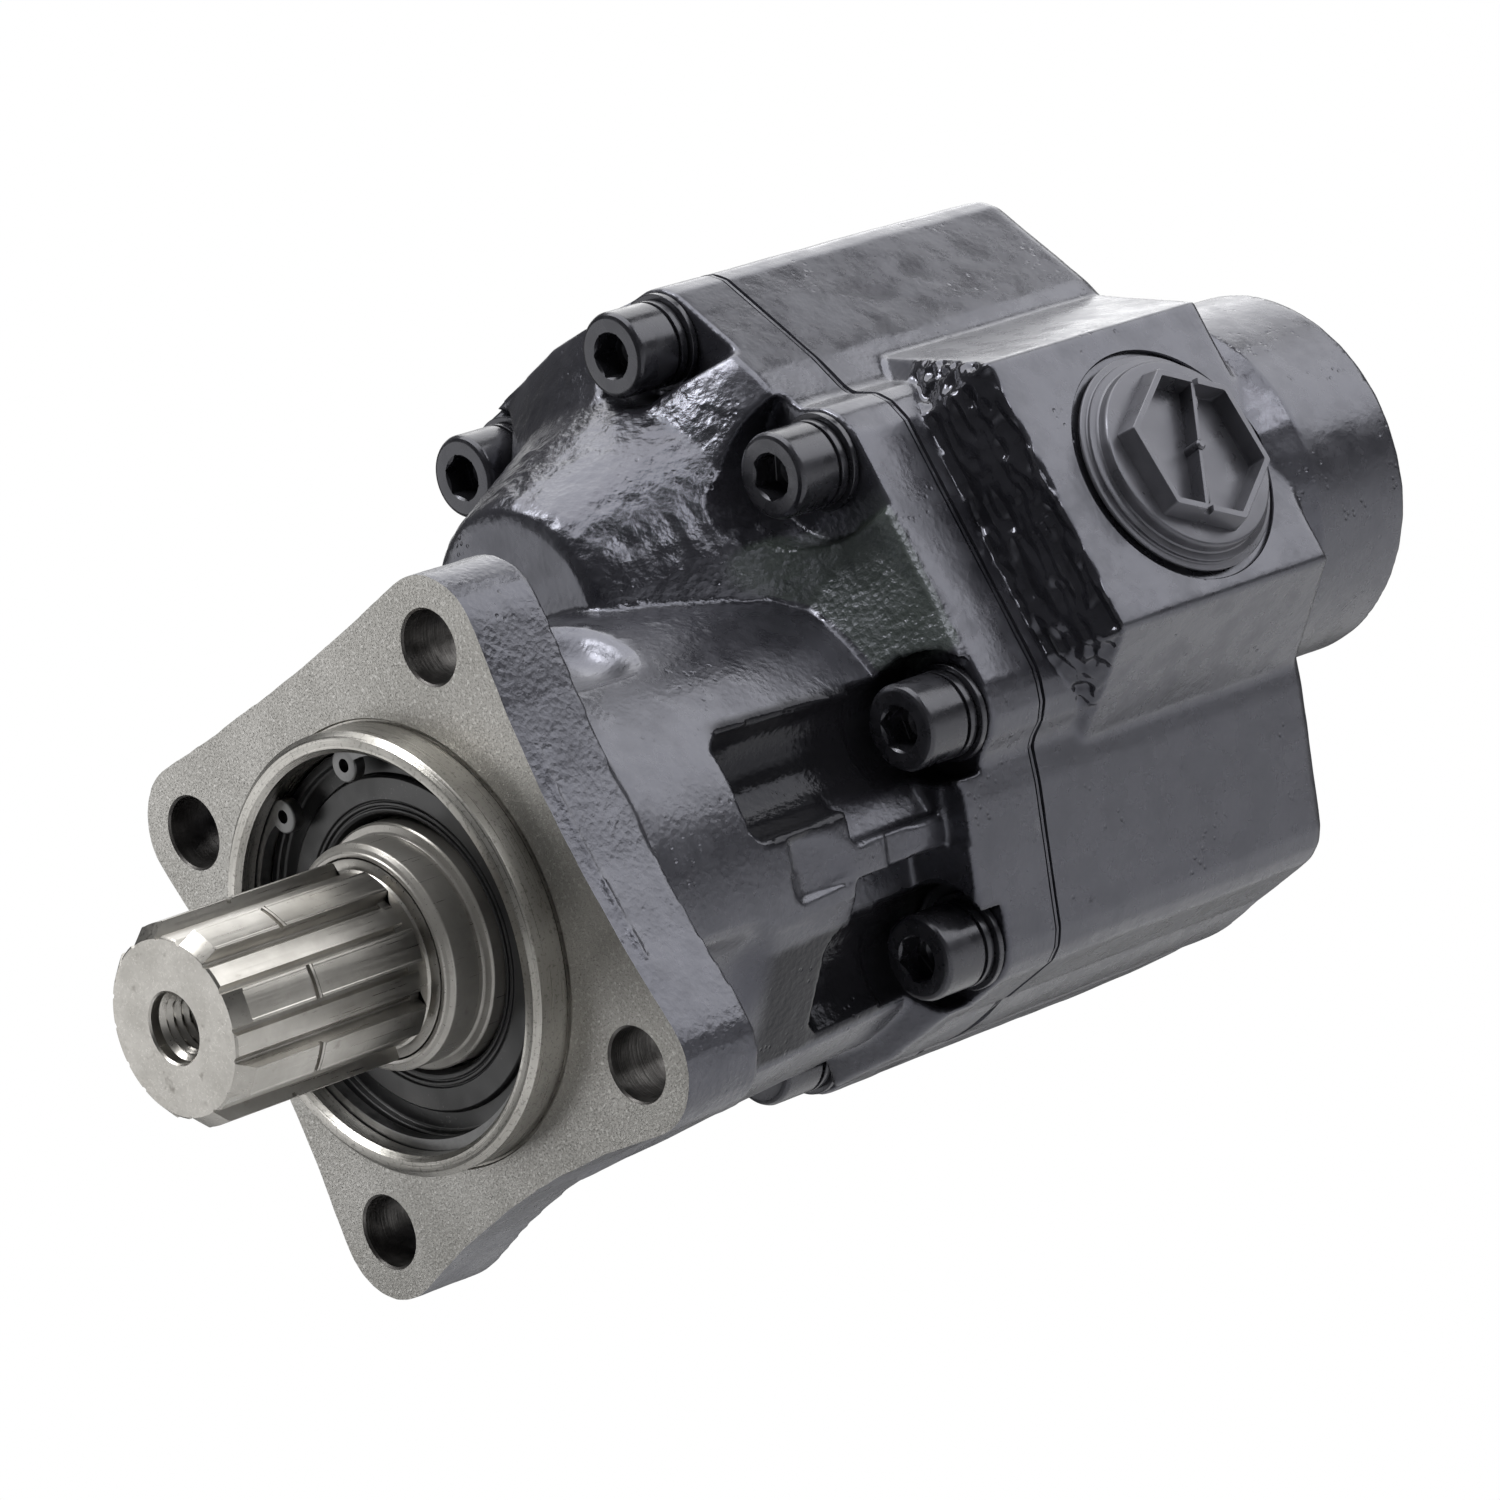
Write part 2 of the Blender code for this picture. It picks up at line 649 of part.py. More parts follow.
def port_block_corners(side):
    """Corners of a side port's block, whose slopes run from the port's face out to both lobes."""
    levels = [(0.0465, (0.1240, 0.1835), (-0.0154, 0.0648)), (0.0520, (0.1120, 0.1835), (0.0, AXIS_GAP)),
              (BLOCK_X, BLOCK_Y, BLOCK_Z), (0.0200, (PORT_Y,), (0.0, AXIS_GAP))]
    return [(side * x, y, z) for x, depths, heights in levels for y in depths for z in heights]


def port_profile(start, face, end):
    """A port's cutter from its inner start to past its face: passage, plug bore and spot face."""
    return [(0, start), (PASSAGE_R, start), (PASSAGE_R, face - PORT_DEPTH), (PORT_R, face - PORT_DEPTH),
            (PORT_R, face - SPOT_DEPTH), (SPOT_R, face - SPOT_DEPTH), (SPOT_R, end), (0, end)]


def build_housing(material, outline):
    front = JOINT_Y + JOINT_GAP
    rings = [(inset(outline, JOINT_CHAMFER), front), (outline, front + JOINT_CHAMFER),
             (outline, LOBE_END - 0.0030), (inset(outline, 0.0009), LOBE_END - 0.0009),
             (inset(outline, 0.0028), LOBE_END)]
    housing = loft("rear_housing", rings, material)
    for side in (-1, 1):
        join(housing, hull("port_block", port_block_corners(side)))
        boss = [(0, 0.150), (0.0300, 0.150), (0.0300, 0.1690), (REAR_R, 0.1800), (REAR_R, REAR_END - 0.0015),
                (REAR_R - 0.0015, REAR_END), (0, REAR_END)]
        join(housing, lathe("rear_boss", boss, (side * REAR_X, PORT_Z), 36))
    for centre in (DRIVE, DRIVEN):
        cut(housing, rod("gear_bore", centre, CASE_R, 0.100, CASE_END, 40))
        cut(housing, rod("bush_bore", centre, BUSH_SEAT_R, 0.150, BUSH_SEAT_END, 32))
    for side in (-1, 1):
        x0, x1 = sorted(side * x for x in CHAMBER_X)
        cut(housing, box("chamber", (x0, CHAMBER_Y[0], MID_Z - CHAMBER_HALF_Z),
                         (x1, CHAMBER_Y[1], MID_Z + CHAMBER_HALF_Z)))
        cut(housing, side_port("side_port", port_profile(0.030, BLOCK_X, 0.090), side))
        rear_port = port_profile(0.150, REAR_END, 0.220)
        cut(housing, lathe("rear_port", rear_port, (side * REAR_X, PORT_Z), 28))
        hole = rod("dowel_hole", (side * DOWEL_X, MID_Z), DOWEL_HOLE_R, 0.105, DOWEL_HOLE_Y[1], 12)
        cut(housing, hole)
    for x, z in SCREWS:
        cut(housing, rod("screw_hole", (x, z), TAPPED_R, 0.105, TAPPED_END, 14))
    groove = prism("groove", stadium(O_RING_GROOVE_R[1]), 0.100, front + O_RING_GROOVE_DEPTH)
    cut(groove, prism("groove_core", stadium(O_RING_GROOVE_R[0]), 0.09, 0.12))
    cut(housing, groove)
    return housing


def spline_outline():
    """Parallel-sided lands on a round core, the first one at the spline's phase."""
    half = SPLINE_LAND_WIDTH / 2
    outer = math.asin(half / SPLINE_OUTER_R)
    inner = math.asin(half / SPLINE_ROOT_R)
    step = 2 * math.pi / SPLINE_LANDS
    points = []
    for k in range(SPLINE_LANDS):
        middle = SPLINE_PHASE + k * step
        between = (step / 2 + inner) / 2
        points += [(SPLINE_ROOT_R, middle - angle) for angle in (step / 2, between, inner)]
        points += [(SPLINE_OUTER_R, middle + angle) for angle in (-outer, 0.0, outer)]
        points += [(SPLINE_ROOT_R, middle + angle) for angle in (inner, between)]
    return [(r * math.cos(a), r * math.sin(a)) for r, a in points]


def build_drive_shaft(material):
    shaft = prism("drive_gear_shaft", spline_outline(), SHAFT_END, SPLINE_END, material)
    envelope = lathe("envelope", [(0, SHAFT_END - 0.001), (0.0148, SHAFT_END - 0.001), (0.0157, SHAFT_END),
                                  (0.0183, -0.0514), (0.0183, -0.0371), (0.0171, -0.0368),
                                  (0.0171, -0.0360), (0.0183, -0.0357), (0.0183, 0.0), (0, 0.0)],
                     segments=40)
    boolean(shaft, envelope, "INTERSECT")
    core = lathe("core", [(0, SPLINE_END - 0.001), (0.0158, SPLINE_END - 0.001), (0.0158, -0.0098),
                          (JOURNAL_R, -0.0094), (JOURNAL_R, JOURNAL_END - 0.001),
                          (JOURNAL_R - 0.001, JOURNAL_END), (0, JOURNAL_END)], segments=32)
    join(shaft, core)
    join(shaft, prism("teeth", gear_outline(DRIVE, math.pi / 2), *GEAR_Y))
    cut(shaft, lathe("centre_hole", [(0, -0.060), (0.0068, -0.060), (0.0063, SHAFT_END),
                                     (CENTRE_HOLE_R, -0.0528), (CENTRE_HOLE_R, -0.0280), (0, -0.0250)],
                     segments=18))
    return shaft


def build_driven_shaft(material):
    front = DRIVEN_JOURNAL_FRONT
    shaft = lathe("driven_gear_shaft", [(0, front), (JOURNAL_R - 0.001, front), (JOURNAL_R, front + 0.001),
                                        (JOURNAL_R, JOURNAL_END - 0.001), (JOURNAL_R - 0.001, JOURNAL_END),
                                        (0, JOURNAL_END)], DRIVEN, 32, material)
    join(shaft, prism("teeth", gear_outline(DRIVEN, -math.pi / 2 + math.pi / TEETH), *GEAR_Y))
    return shaft


def build_sleeve(material):
    """A narrow collar next to the spline, then the ground surface that the seals run on."""
    profile = [(SLEEVE_BORE_R, -0.0092), (0.0192, -0.0092), (0.0205, -0.0078), (0.0205, -0.0012),
               (0.0223, -0.0006), (0.0223, 0.0188), (SLEEVE_BORE_R, 0.0188)]
    return lathe("shaft_sleeve", profile, material=material, segments=36)


def build_seal(name, front, material):
    profile = [(0.0227, 0.0020), (0.0237, 0.0004), (0.0301, 0.0004), (0.0307, 0.0014), (0.0340, 0.0014),
               (0.0342, 0.0), (0.0359, 0.0), (0.0359, 0.0078), (0.0260, 0.0078), (0.0245, 0.0050)]
    return lathe(name, [(radius, front + y) for radius, y in profile], material=material, segments=32)


def ring_sector(centre, radii, start, sweep, steps):
    """Outline of a ring's sector between two radii."""
    points = []
    for radius, order in ((radii[1], range(steps + 1)), (radii[0], range(steps, -1, -1))):
        for i in order:
            a = start + sweep * i / steps
            points.append((centre[0] + radius * math.cos(a), centre[1] + radius * math.sin(a)))
    return points


def build_retaining_ring(material):
    """An open ring whose ends carry eyelets for the pliers."""
    outline = ring_sector(DRIVE, (CLIP_INNER_R, CLIP_OUTER_R), CLIP_GAP_MIDDLE + CLIP_HALF_GAP,
                          2 * math.pi - 2 * CLIP_HALF_GAP, 30)
    ring = prism("retaining_ring", outline, *CLIP_Y, material)
    eyes = []
    for sign in (-1, 1):
        a = CLIP_GAP_MIDDLE + sign * CLIP_HALF_GAP
        eyes.append((EYELET_PITCH_R * math.cos(a), EYELET_PITCH_R * math.sin(a)))
    for eye in eyes:
        join(ring, rod("eyelet", eye, EYELET_R, CLIP_Y[0] - 0.00002, CLIP_Y[1] + 0.00002, 16))
    for eye in eyes:
        cut(ring, rod("eye_hole", eye, EYELET_HOLE_R, -0.006, 0.002, 10))
    return ring


def build_bush(name, centre, y0, y1, material):
    profile = [(BUSH_BORE_R, y0), (BUSH_R, y0), (BUSH_R, y1), (BUSH_BORE_R, y1)]
    return lathe(name, profile, centre, 32, material)


def build_plate(name, y0, y1, material):
    """A pressure plate in the shape of an 8, with a bore round each journal."""
    angles = np.radians(np.linspace(-90, 270, 721)[:-1])
    origin = (0.0, MID_Z)
    radius = CASE_R - SHEET_GAP
    reach = np.maximum(circle_reach(origin, angles, DRIVE, radius),
                       circle_reach(origin, angles, DRIVEN, radius))
    right = [(r * math.cos(a), MID_Z + r * math.sin(a)) for a, r in zip(angles[:361], reach[:361])]
    right[0] = (0.0, right[0][1])
    right[-1] = (0.0, right[-1][1])
    right = thin_out(right, 0.00010)
    outline = right + [(-x, z) for x, z in reversed(right[1:-1])]
    plate = prism(name, outline, y0, y1, material)
    for centre in (DRIVE, DRIVEN):
        cut(plate, rod("plate_bore", centre, BUSH_BORE_R, y0 - 0.01, y1 + 0.01, 28))
    return plate


def build_o_ring(material):
    """A cord laid round both gear bores in the joint face."""
    path = stadium(sum(O_RING_GROOVE_R) / 2)
    section = O_RING_SECTION_R
    middle = JOINT_Y + JOINT_GAP + section + 0.00003
    bm = bmesh.new()
    rows = []
    count = len(path)
    for i, (x, z) in enumerate(path):
        run = (Vector(path[(i + 1) % count]) - Vector(path[i - 1])).normalized()
        out = Vector((run.y, -run.x))
        row = []
        for k in range(6):
            a = math.pi * k / 3
            row.append(bm.verts.new((x + out.x * section * math.cos(a), middle + section * math.sin(a),
                                     z + out.y * section * math.cos(a))))
        rows.append(row)
    for i in range(count):
        here, there = rows[i], rows[(i + 1) % count]
        for k in range(6):
            m = (k + 1) % 6
            bm.faces.new((here[k], here[m], there[m], there[k]))
    return add_object("body_o_ring", bm, material)


def build_dowel(name, side, material):
    front, rear = DOWEL_Y
    profile = [(0, front), (DOWEL_R - 0.0005, front), (DOWEL_R, front + 0.0007), (DOWEL_R, rear - 0.0007),
               (DOWEL_R - 0.0005, rear), (0, rear)]
    return lathe(name, profile, (side * DOWEL_X, MID_Z), 16, material)


def build_screw(name, centre, phase, material):
    under = HEAD_FRONT + HEAD_LENGTH
    profile = [(0, HEAD_FRONT), (HEAD_R - 0.0006, HEAD_FRONT), (HEAD_R, HEAD_FRONT + 0.0008), (HEAD_R, under),
               (SHANK_R, under), (SHANK_R, SCREW_END - 0.001), (SHANK_R - 0.001, SCREW_END), (0, SCREW_END)]
    screw = lathe(name, profile, centre, 16, material)
    socket = hexagon(SOCKET_FLAT, centre, phase)
    cut(screw, prism("socket", socket, HEAD_FRONT - 0.005, HEAD_FRONT + SOCKET_DEPTH))
    return screw


def build_spring_washer(name, centre, phase, material):
    """A split ring, open by about a millimetre."""
    sweep = 2 * math.pi - 2 * SPRING_WASHER_HALF_GAP
    outline = ring_sector(centre, SPRING_WASHER_R, phase + SPRING_WASHER_HALF_GAP, sweep, 12)
    return prism(name, outline, *SPRING_WASHER_Y, material)


def build_flat_washer(name, centre, material):
    inner, outer = FLAT_WASHER_R
    front, rear = FLAT_WASHER_Y
    return lathe(name, [(inner, front), (outer, front), (outer, rear), (inner, rear)], centre, 16, material)


def plug_body(name, material):
    """A moulded plug about the Y axis: its flange seats at y = 0 and its hexagon points to -Y."""
    profile = [(0, -0.0057), (0.0181, -0.0057), (0.0187, -0.0050), (0.0188, -0.0030), (0.0203, -0.0028),
               (0.0203, -0.0019), (0.0216, -0.0017), (0.0216, -0.0012), (0.0162, -0.0012), (0.0162, 0.0120),
               (0.0154, 0.0130), (0.0135, 0.0130), (0.0135, -0.0010), (0, -0.0010)]
    plug = lathe(name, profile, segments=24, material=material)
    rim = loft("rim", [(hexagon(0.0287, phase=PLUG_PHASE), -0.0050),
                       (hexagon(0.0274, phase=PLUG_PHASE), -0.0096)])
    cut(rim, loft("rim_hollow", [(hexagon(0.0246, phase=PLUG_PHASE), -0.0062),
                                 (hexagon(0.0250, phase=PLUG_PHASE), -0.0102)]))
    join(plug, rim)
    rib = box("rib", (-0.0128, -0.0089, -0.0005), (0.0128, -0.0054, 0.0005))
    turn(rib, Matrix.Rotation(PLUG_RIB_ANGLE, 4, "Y"))
    join(plug, rib)
    return plug


def plug_seal_body(name, material):
    return lathe(name, [(0.0168, -0.0012), (0.0206, -0.0012), (0.0206, -0.0002), (0.0168, -0.0002)],
                 segments=20, material=material)


def port_matrix(place, side):
    """Where a plug's -Y points out of the named port."""
    if place == "side":
        turned = Matrix.Rotation(math.radians(90 * side), 4, "Z")
        return Matrix.Translation((side * (BLOCK_X - SPOT_DEPTH), PORT_Y, PORT_Z)) @ turned
    turned = Matrix.Rotation(math.radians(180), 4, "Z")
    return Matrix.Translation((side * REAR_X, REAR_END - SPOT_DEPTH, PORT_Z)) @ turned


def build_port_fittings(plastic, rubber):
    names = {-1: "left", 1: "right"}
    for place in ("side", "rear"):
        for side in (-1, 1):
            matrix = port_matrix(place, side)
            plug = plug_body(f"{place}_port_plug_{names[side]}", plastic)
            seal = plug_seal_body(f"{place}_port_seal_{names[side]}", rubber)
            tidy(turn(plug, matrix))
            tidy(turn(seal, matrix))


def build_fasteners(screw_material, washer_material):
    for k, centre in enumerate(SCREWS, start=1):
        phase = math.radians(11 + 23 * k)
        tidy(build_screw(f"cap_screw_{k}", centre, phase, screw_material))
        tidy(build_spring_washer(f"spring_washer_{k}", centre, phase + 1.0, washer_material))
        tidy(build_flat_washer(f"flat_washer_{k}", centre, washer_material))


def place_origin(item, centre):
    """Move the object's origin onto its own turning axis without moving its mesh."""
    point = Vector((centre[0], 0.0, centre[1]))
    item.data.transform(Matrix.Translation(-point))
    item.location = point


def main():
    clear_scene()
    materials = {name: make_material(name) for name in COLOURS}
    outline = body_outline()
    tidy(build_front_cover(materials["black_paint"], outline))
    tidy(build_housing(materials["black_paint"], outline))
    drive = tidy(build_drive_shaft(materials["ground_steel"]))
    driven = tidy(build_driven_shaft(materials["ground_steel"]))
    sleeve = tidy(build_sleeve(materials["ground_steel"]))
    place_origin(drive, DRIVE)
    place_origin(driven, DRIVEN)
    sleeve.parent = drive
    for name, front in SEAL_FRONTS.items():
        tidy(build_seal(name, front, materials["seal_rubber"]))
    tidy(build_retaining_ring(materials["spring_steel"]))
    tidy(build_bush("front_drive_bush", DRIVE, *FRONT_DRIVE_BUSH_Y, materials["bronze"]))
    tidy(build_bush("front_driven_bush", DRIVEN, *FRONT_DRIVEN_BUSH_Y, materials["bronze"]))
    tidy(build_bush("rear_drive_bush", DRIVE, *REAR_BUSH_Y, materials["bronze"]))
    tidy(build_bush("rear_driven_bush", DRIVEN, *REAR_BUSH_Y, materials["bronze"]))
    tidy(build_plate("front_pressure_plate", *FRONT_PLATE_Y, materials["bronze"]))
    tidy(build_plate("rear_pressure_plate", *REAR_PLATE_Y, materials["bronze"]))
    tidy(build_o_ring(materials["seal_rubber"]))
    for side, name in ((-1, "dowel_pin_left"), (1, "dowel_pin_right")):
        tidy(build_dowel(name, side, materials["ground_steel"]))
    build_fasteners(materials["black_steel"], materials["black_steel"])
    build_port_fittings(materials["plug_plastic"], materials["seal_rubber"])


main()
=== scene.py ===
"""Looks of the bi-rotational gear pump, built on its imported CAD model.

+Y runs back into the pump, +Z runs from the drive gear to the driven gear. Lengths are in metres.
"""
import math

import bmesh
import bpy
import numpy as np
from mathutils import Matrix, Vector


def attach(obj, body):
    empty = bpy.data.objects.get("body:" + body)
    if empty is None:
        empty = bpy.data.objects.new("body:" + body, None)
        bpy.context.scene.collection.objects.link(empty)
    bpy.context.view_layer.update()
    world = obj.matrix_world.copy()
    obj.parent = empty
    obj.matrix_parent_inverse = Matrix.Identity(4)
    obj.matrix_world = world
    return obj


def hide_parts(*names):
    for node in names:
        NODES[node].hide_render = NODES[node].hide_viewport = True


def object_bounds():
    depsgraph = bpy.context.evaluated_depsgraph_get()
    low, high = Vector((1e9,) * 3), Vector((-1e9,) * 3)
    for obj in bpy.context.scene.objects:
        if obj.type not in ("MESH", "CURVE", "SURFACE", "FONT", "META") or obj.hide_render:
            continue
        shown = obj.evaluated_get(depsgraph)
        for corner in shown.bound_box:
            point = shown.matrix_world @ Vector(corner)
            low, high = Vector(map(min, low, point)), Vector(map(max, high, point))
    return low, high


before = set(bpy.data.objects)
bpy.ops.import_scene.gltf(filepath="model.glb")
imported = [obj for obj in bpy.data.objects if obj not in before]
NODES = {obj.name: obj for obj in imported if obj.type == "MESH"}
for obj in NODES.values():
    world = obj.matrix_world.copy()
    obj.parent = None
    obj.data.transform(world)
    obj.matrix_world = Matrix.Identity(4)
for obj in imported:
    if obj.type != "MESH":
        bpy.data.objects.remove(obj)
CAD_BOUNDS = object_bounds()

# Axes and planes of the CAD model
AXIS_GAP = 0.0471
DRIVE = (0.0, 0.0)
DRIVEN = (0.0, AXIS_GAP)
MID_Z = AXIS_GAP / 2
FLANGE_BACK = 0.0168
BOLT_SQUARE = 0.040
PILOT_R = 0.040
PILOT_FRONT = -0.0075
SEAL_BORE_R = 0.0362
NECK_R_FRONT = 0.0489
NECK_R_REAR = 0.0446
NECK_REAR = 0.0880
LOBE_R = 0.0498
JOINT_Y = 0.110
SCREWS = [(0.0255, 0.0852), (0.0482, 0.0490), (0.0482, -0.0019), (0.0255, -0.0381),
          (-0.0255, -0.0381), (-0.0482, -0.0019), (-0.0482, 0.0490), (-0.0255, 0.0852)]
HEAD_FRONT = 0.0829
HEAD_BACK = 0.0927
BLOCK_X = 0.0743
PORT_Y = 0.150
PORT_Z = 0.0226
REAR_X = 0.0431
REAR_R = 0.0349
REAR_END = 0.2055
GEAR_Y = (0.1152, 0.1512)
TEETH = 12
TIP_R = 0.02725
ROOT_R = 0.019
JOURNAL_R = 0.0179
JOURNAL_END = 0.1765
SHAFT_END = -0.054
SPLINE_END = -0.0123

# Sizes shared by several cuts
FLANGE_HOLES = [(x, z) for x in (-BOLT_SQUARE, BOLT_SQUARE) for z in (-BOLT_SQUARE, BOLT_SQUARE)]
DOWEL_X = 0.050
DOWEL_HOLE_R = 0.0043
DOWEL_STOCK_R = 0.0052
SCREW_STOCK_R = 0.0062
BUSH_SEAT_R = 0.0223
BUSH_STOCK_R = 0.0236
GEAR_BORE_R = 0.0276
PASSAGE_R = 0.0130
PORT_STOCK_R = 0.0240
FACE_STOCK = 0.0012
OUTLINE_PLANE = JOINT_Y + 0.00095

# Casting skin
VOXEL = 0.00062
ROUNDING_PASSES = 7
BLENDING_PASSES = 90
CAST_TRIANGLES = 150000


# ---------------------------------------------------------------- mesh helpers

def new_object(name, mesh):
    item = bpy.data.objects.new(name, mesh)
    bpy.context.scene.collection.objects.link(item)
    return item


def from_bmesh(name, bm):
    bmesh.ops.recalc_face_normals(bm, faces=bm.faces)
    mesh = bpy.data.meshes.new(name)
    bm.to_mesh(mesh)
    bm.free()
    return new_object(name, mesh)


def loft(name, rings):
    """Close a stack of (outline, y) rings, each outline a list of (x, z) with the same count."""
    bm = bmesh.new()
    rows = [[bm.verts.new((x, y, z)) for x, z in outline] for outline, y in rings]
    for low, high in zip(rows, rows[1:]):
        count = len(low)
        for i in range(count):
            j = (i + 1) % count
            bm.faces.new((low[i], low[j], high[j], high[i]))
    bm.faces.new(rows[0])
    bm.faces.new(rows[-1])
    bmesh.ops.triangulate(bm, faces=[f for f in bm.faces if len(f.verts) > 4])
    return from_bmesh(name, bm)


def prism(name, outline, y0, y1):
    return loft(name, [(outline, y0), (outline, y1)])


def round_corners(points, radius, steps=3, closed=True):
    """Replace each corner of a run of 2D points by a short curve."""
    out = []
    count = len(points)
    for i, point in enumerate(points):
        if not closed and i in (0, count - 1):
            out.append(tuple(point))
            continue
        p, a, b = Vector(point), Vector(points[i - 1]), Vector(points[(i + 1) % count])
        to_a, to_b = a - p, b - p
        back = min(radius, 0.45 * to_a.length, 0.45 * to_b.length)
        start, end = p + to_a.normalized() * back, p + to_b.normalized() * back
        for k in range(steps + 1):
            t = k / steps
            out.append(tuple(start * (1 - t) ** 2 + p * (2 * t * (1 - t)) + end * t ** 2))
    return out


def lathe(name, profile, centre=(0.0, 0.0), segments=96, bevel=0.0):
    """Turn a closed (radius, y) profile about the Y axis through centre (x, z)."""
    on_axis = profile[0][0] < 1e-9 and profile[-1][0] < 1e-9
    if bevel:
        profile = round_corners(profile, bevel, 3, not on_axis)
    bm = bmesh.new()
    rows = []
    for radius, y in profile:
        if radius < 1e-9:
            rows.append([bm.verts.new((centre[0], y, centre[1]))])
            continue
        row = []
        for i in range(segments):
            a = 2 * math.pi * i / segments
            row.append(bm.verts.new((centre[0] + radius * math.cos(a), y, centre[1] + radius * math.sin(a))))
        rows.append(row)
    pairs = list(zip(rows, rows[1:]))
    if not on_axis:
        pairs.append((rows[-1], rows[0]))
    for low, high in pairs:
        for i in range(segments):
            j = (i + 1) % segments
            corners = [low[i % len(low)], low[j % len(low)], high[j % len(high)], high[i % len(high)]]
            unique = list(dict.fromkeys(corners))
            if len(unique) > 2:
                bm.faces.new(unique)
    return from_bmesh(name, bm)


def rod(name, centre, radius, y0, y1, segments=64):
    return lathe(name, [(0, y0), (radius, y0), (radius, y1), (0, y1)], centre, segments)


def box(name, low, high):
    bm = bmesh.new()
    bmesh.ops.create_cube(bm, size=1.0)
    size = Vector(high) - Vector(low)
    middle = (Vector(high) + Vector(low)) / 2
    bmesh.ops.transform(bm, matrix=Matrix.Translation(middle) @ Matrix.Diagonal((*size, 1.0)), verts=bm.verts)
    return from_bmesh(name, bm)


def turn(item, matrix):
    item.data.transform(matrix)
    if matrix.determinant() < 0:
        item.data.flip_normals()
    return item


def bake(item):
    """Apply the object's modifiers."""
    depsgraph = bpy.context.evaluated_depsgraph_get()
    mesh = bpy.data.meshes.new_from_object(item.evaluated_get(depsgraph))
    item.modifiers.clear()
    item.data = mesh
    return item


def boolean(item, tool, operation="DIFFERENCE"):
    modifier = item.modifiers.new("cut", "BOOLEAN")
    modifier.operation = operation
    modifier.solver = "MANIFOLD"
    modifier.material_mode = "TRANSFER"
    modifier.object = tool
    bake(item)
    bpy.data.objects.remove(tool, do_unlink=True)
    return item


def bevel_edges(item, width, segments=2, angle=30):
    modifier = item.modifiers.new("bevel", "BEVEL")
    modifier.width = width
    modifier.segments = segments
    modifier.limit_method = "ANGLE"
    modifier.angle_limit = math.radians(angle)
    modifier.harden_normals = False
    return bake(item)


def absorb(item, *others):
    """Put the others' faces in the item's mesh."""
    bm = bmesh.new()
    bm.from_mesh(item.data)
    for other in others:
        bm.from_mesh(other.data)
        bpy.data.objects.remove(other, do_unlink=True)
    bm.to_mesh(item.data)
    bm.free()
    return item


def soft(item, angle=35):
    """Smooth shading that keeps flat faces flat and corners sharper than angle sharp."""
    item.data.shade_smooth()
    item.data.set_sharp_from_angle(angle=math.radians(angle))
    modifier = item.modifiers.new("flat faces", "WEIGHTED_NORMAL")
    modifier.keep_sharp = True
    return bake(item)


def finish_piece(item, body, slot, nodes, *materials):
    if materials:
        item.data.materials.clear()
        for entry in materials:
            item.data.materials.append(entry)
    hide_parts(*nodes)
    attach(item, body)
    return item


# ---------------------------------------------------------------- noise on vertices

def lattice_value(ix, iy, iz, seed):
    h = (ix * 73856093) ^ (iy * 19349663) ^ (iz * 83492791) ^ (seed * 2654435761)
    h = h & 0xFFFFFFFF
    h = ((h ^ (h >> 13)) * 1274126177) & 0xFFFFFFFF
    h = h ^ (h >> 16)
    return (h & 0xFFFF) / 32767.5 - 1.0


def value_noise(points, scale, seed):
    """Smooth noise from -1 to 1 whose lumps are about scale metres; scale may differ along each axis."""
    p = points / np.asarray(scale)
    base = np.floor(p).astype(np.int64)
    f = p - base
    f = f * f * f * (f * (f * 6 - 15) + 10)
    total = np.zeros(len(points))
    for dx in (0, 1):
        for dy in (0, 1):
            for dz in (0, 1):
                weight = (f[:, 0] if dx else 1 - f[:, 0]) * (f[:, 1] if dy else 1 - f[:, 1])
                weight = weight * (f[:, 2] if dz else 1 - f[:, 2])
                total += weight * lattice_value(base[:, 0] + dx, base[:, 1] + dy, base[:, 2] + dz, seed)
    return total


def step(value, low, high):
    t = np.clip((value - low) / (high - low), 0, 1)
    return t * t * (3 - 2 * t)


def mesh_arrays(mesh):
    points = np.empty(len(mesh.vertices) * 3)
    mesh.vertices.foreach_get("co", points)
    normals = np.empty(len(mesh.vertices) * 3)
    mesh.vertex_normals.foreach_get("vector", normals)
    return points.reshape(-1, 3), normals.reshape(-1, 3)


# ---------------------------------------------------------------- castings

def ring_outline(node, y):
    """The CAD node's outer outline at one of its vertex planes, anticlockwise about the mid point."""
    found = {}
    for vertex in NODES[node].data.vertices:
        if abs(vertex.co.y - y) < 2e-5:
            spot = (round(vertex.co.x, 6), round(vertex.co.z, 6))
            found[spot] = math.atan2(vertex.co.z - MID_Z, vertex.co.x)
    return sorted(found, key=found.get)


def inset(outline, distance):
    moved = []
    count = len(outline)
    for i, (x, z) in enumerate(outline):
        here, before, after = Vector((x, z)), Vector(outline[i - 1]), Vector(outline[(i + 1) % count])
        normal = Vector((0.0, 0.0))
        for run in (here - before, after - here):
            unit = run.normalized()
            normal += Vector((-unit.y, unit.x))
        normal.normalize()
        moved.append((x + normal.x * distance, z + normal.y * distance))
    return moved


def stadium(radius, steps=24):
    points = []
    for i in range(steps + 1):
        a = math.pi + math.pi * i / steps
        points.append((radius * math.cos(a), radius * math.sin(a)))
    for i in range(steps + 1):
        a = math.pi * i / steps
        points.append((radius * math.cos(a), AXIS_GAP + radius * math.sin(a)))
    return points


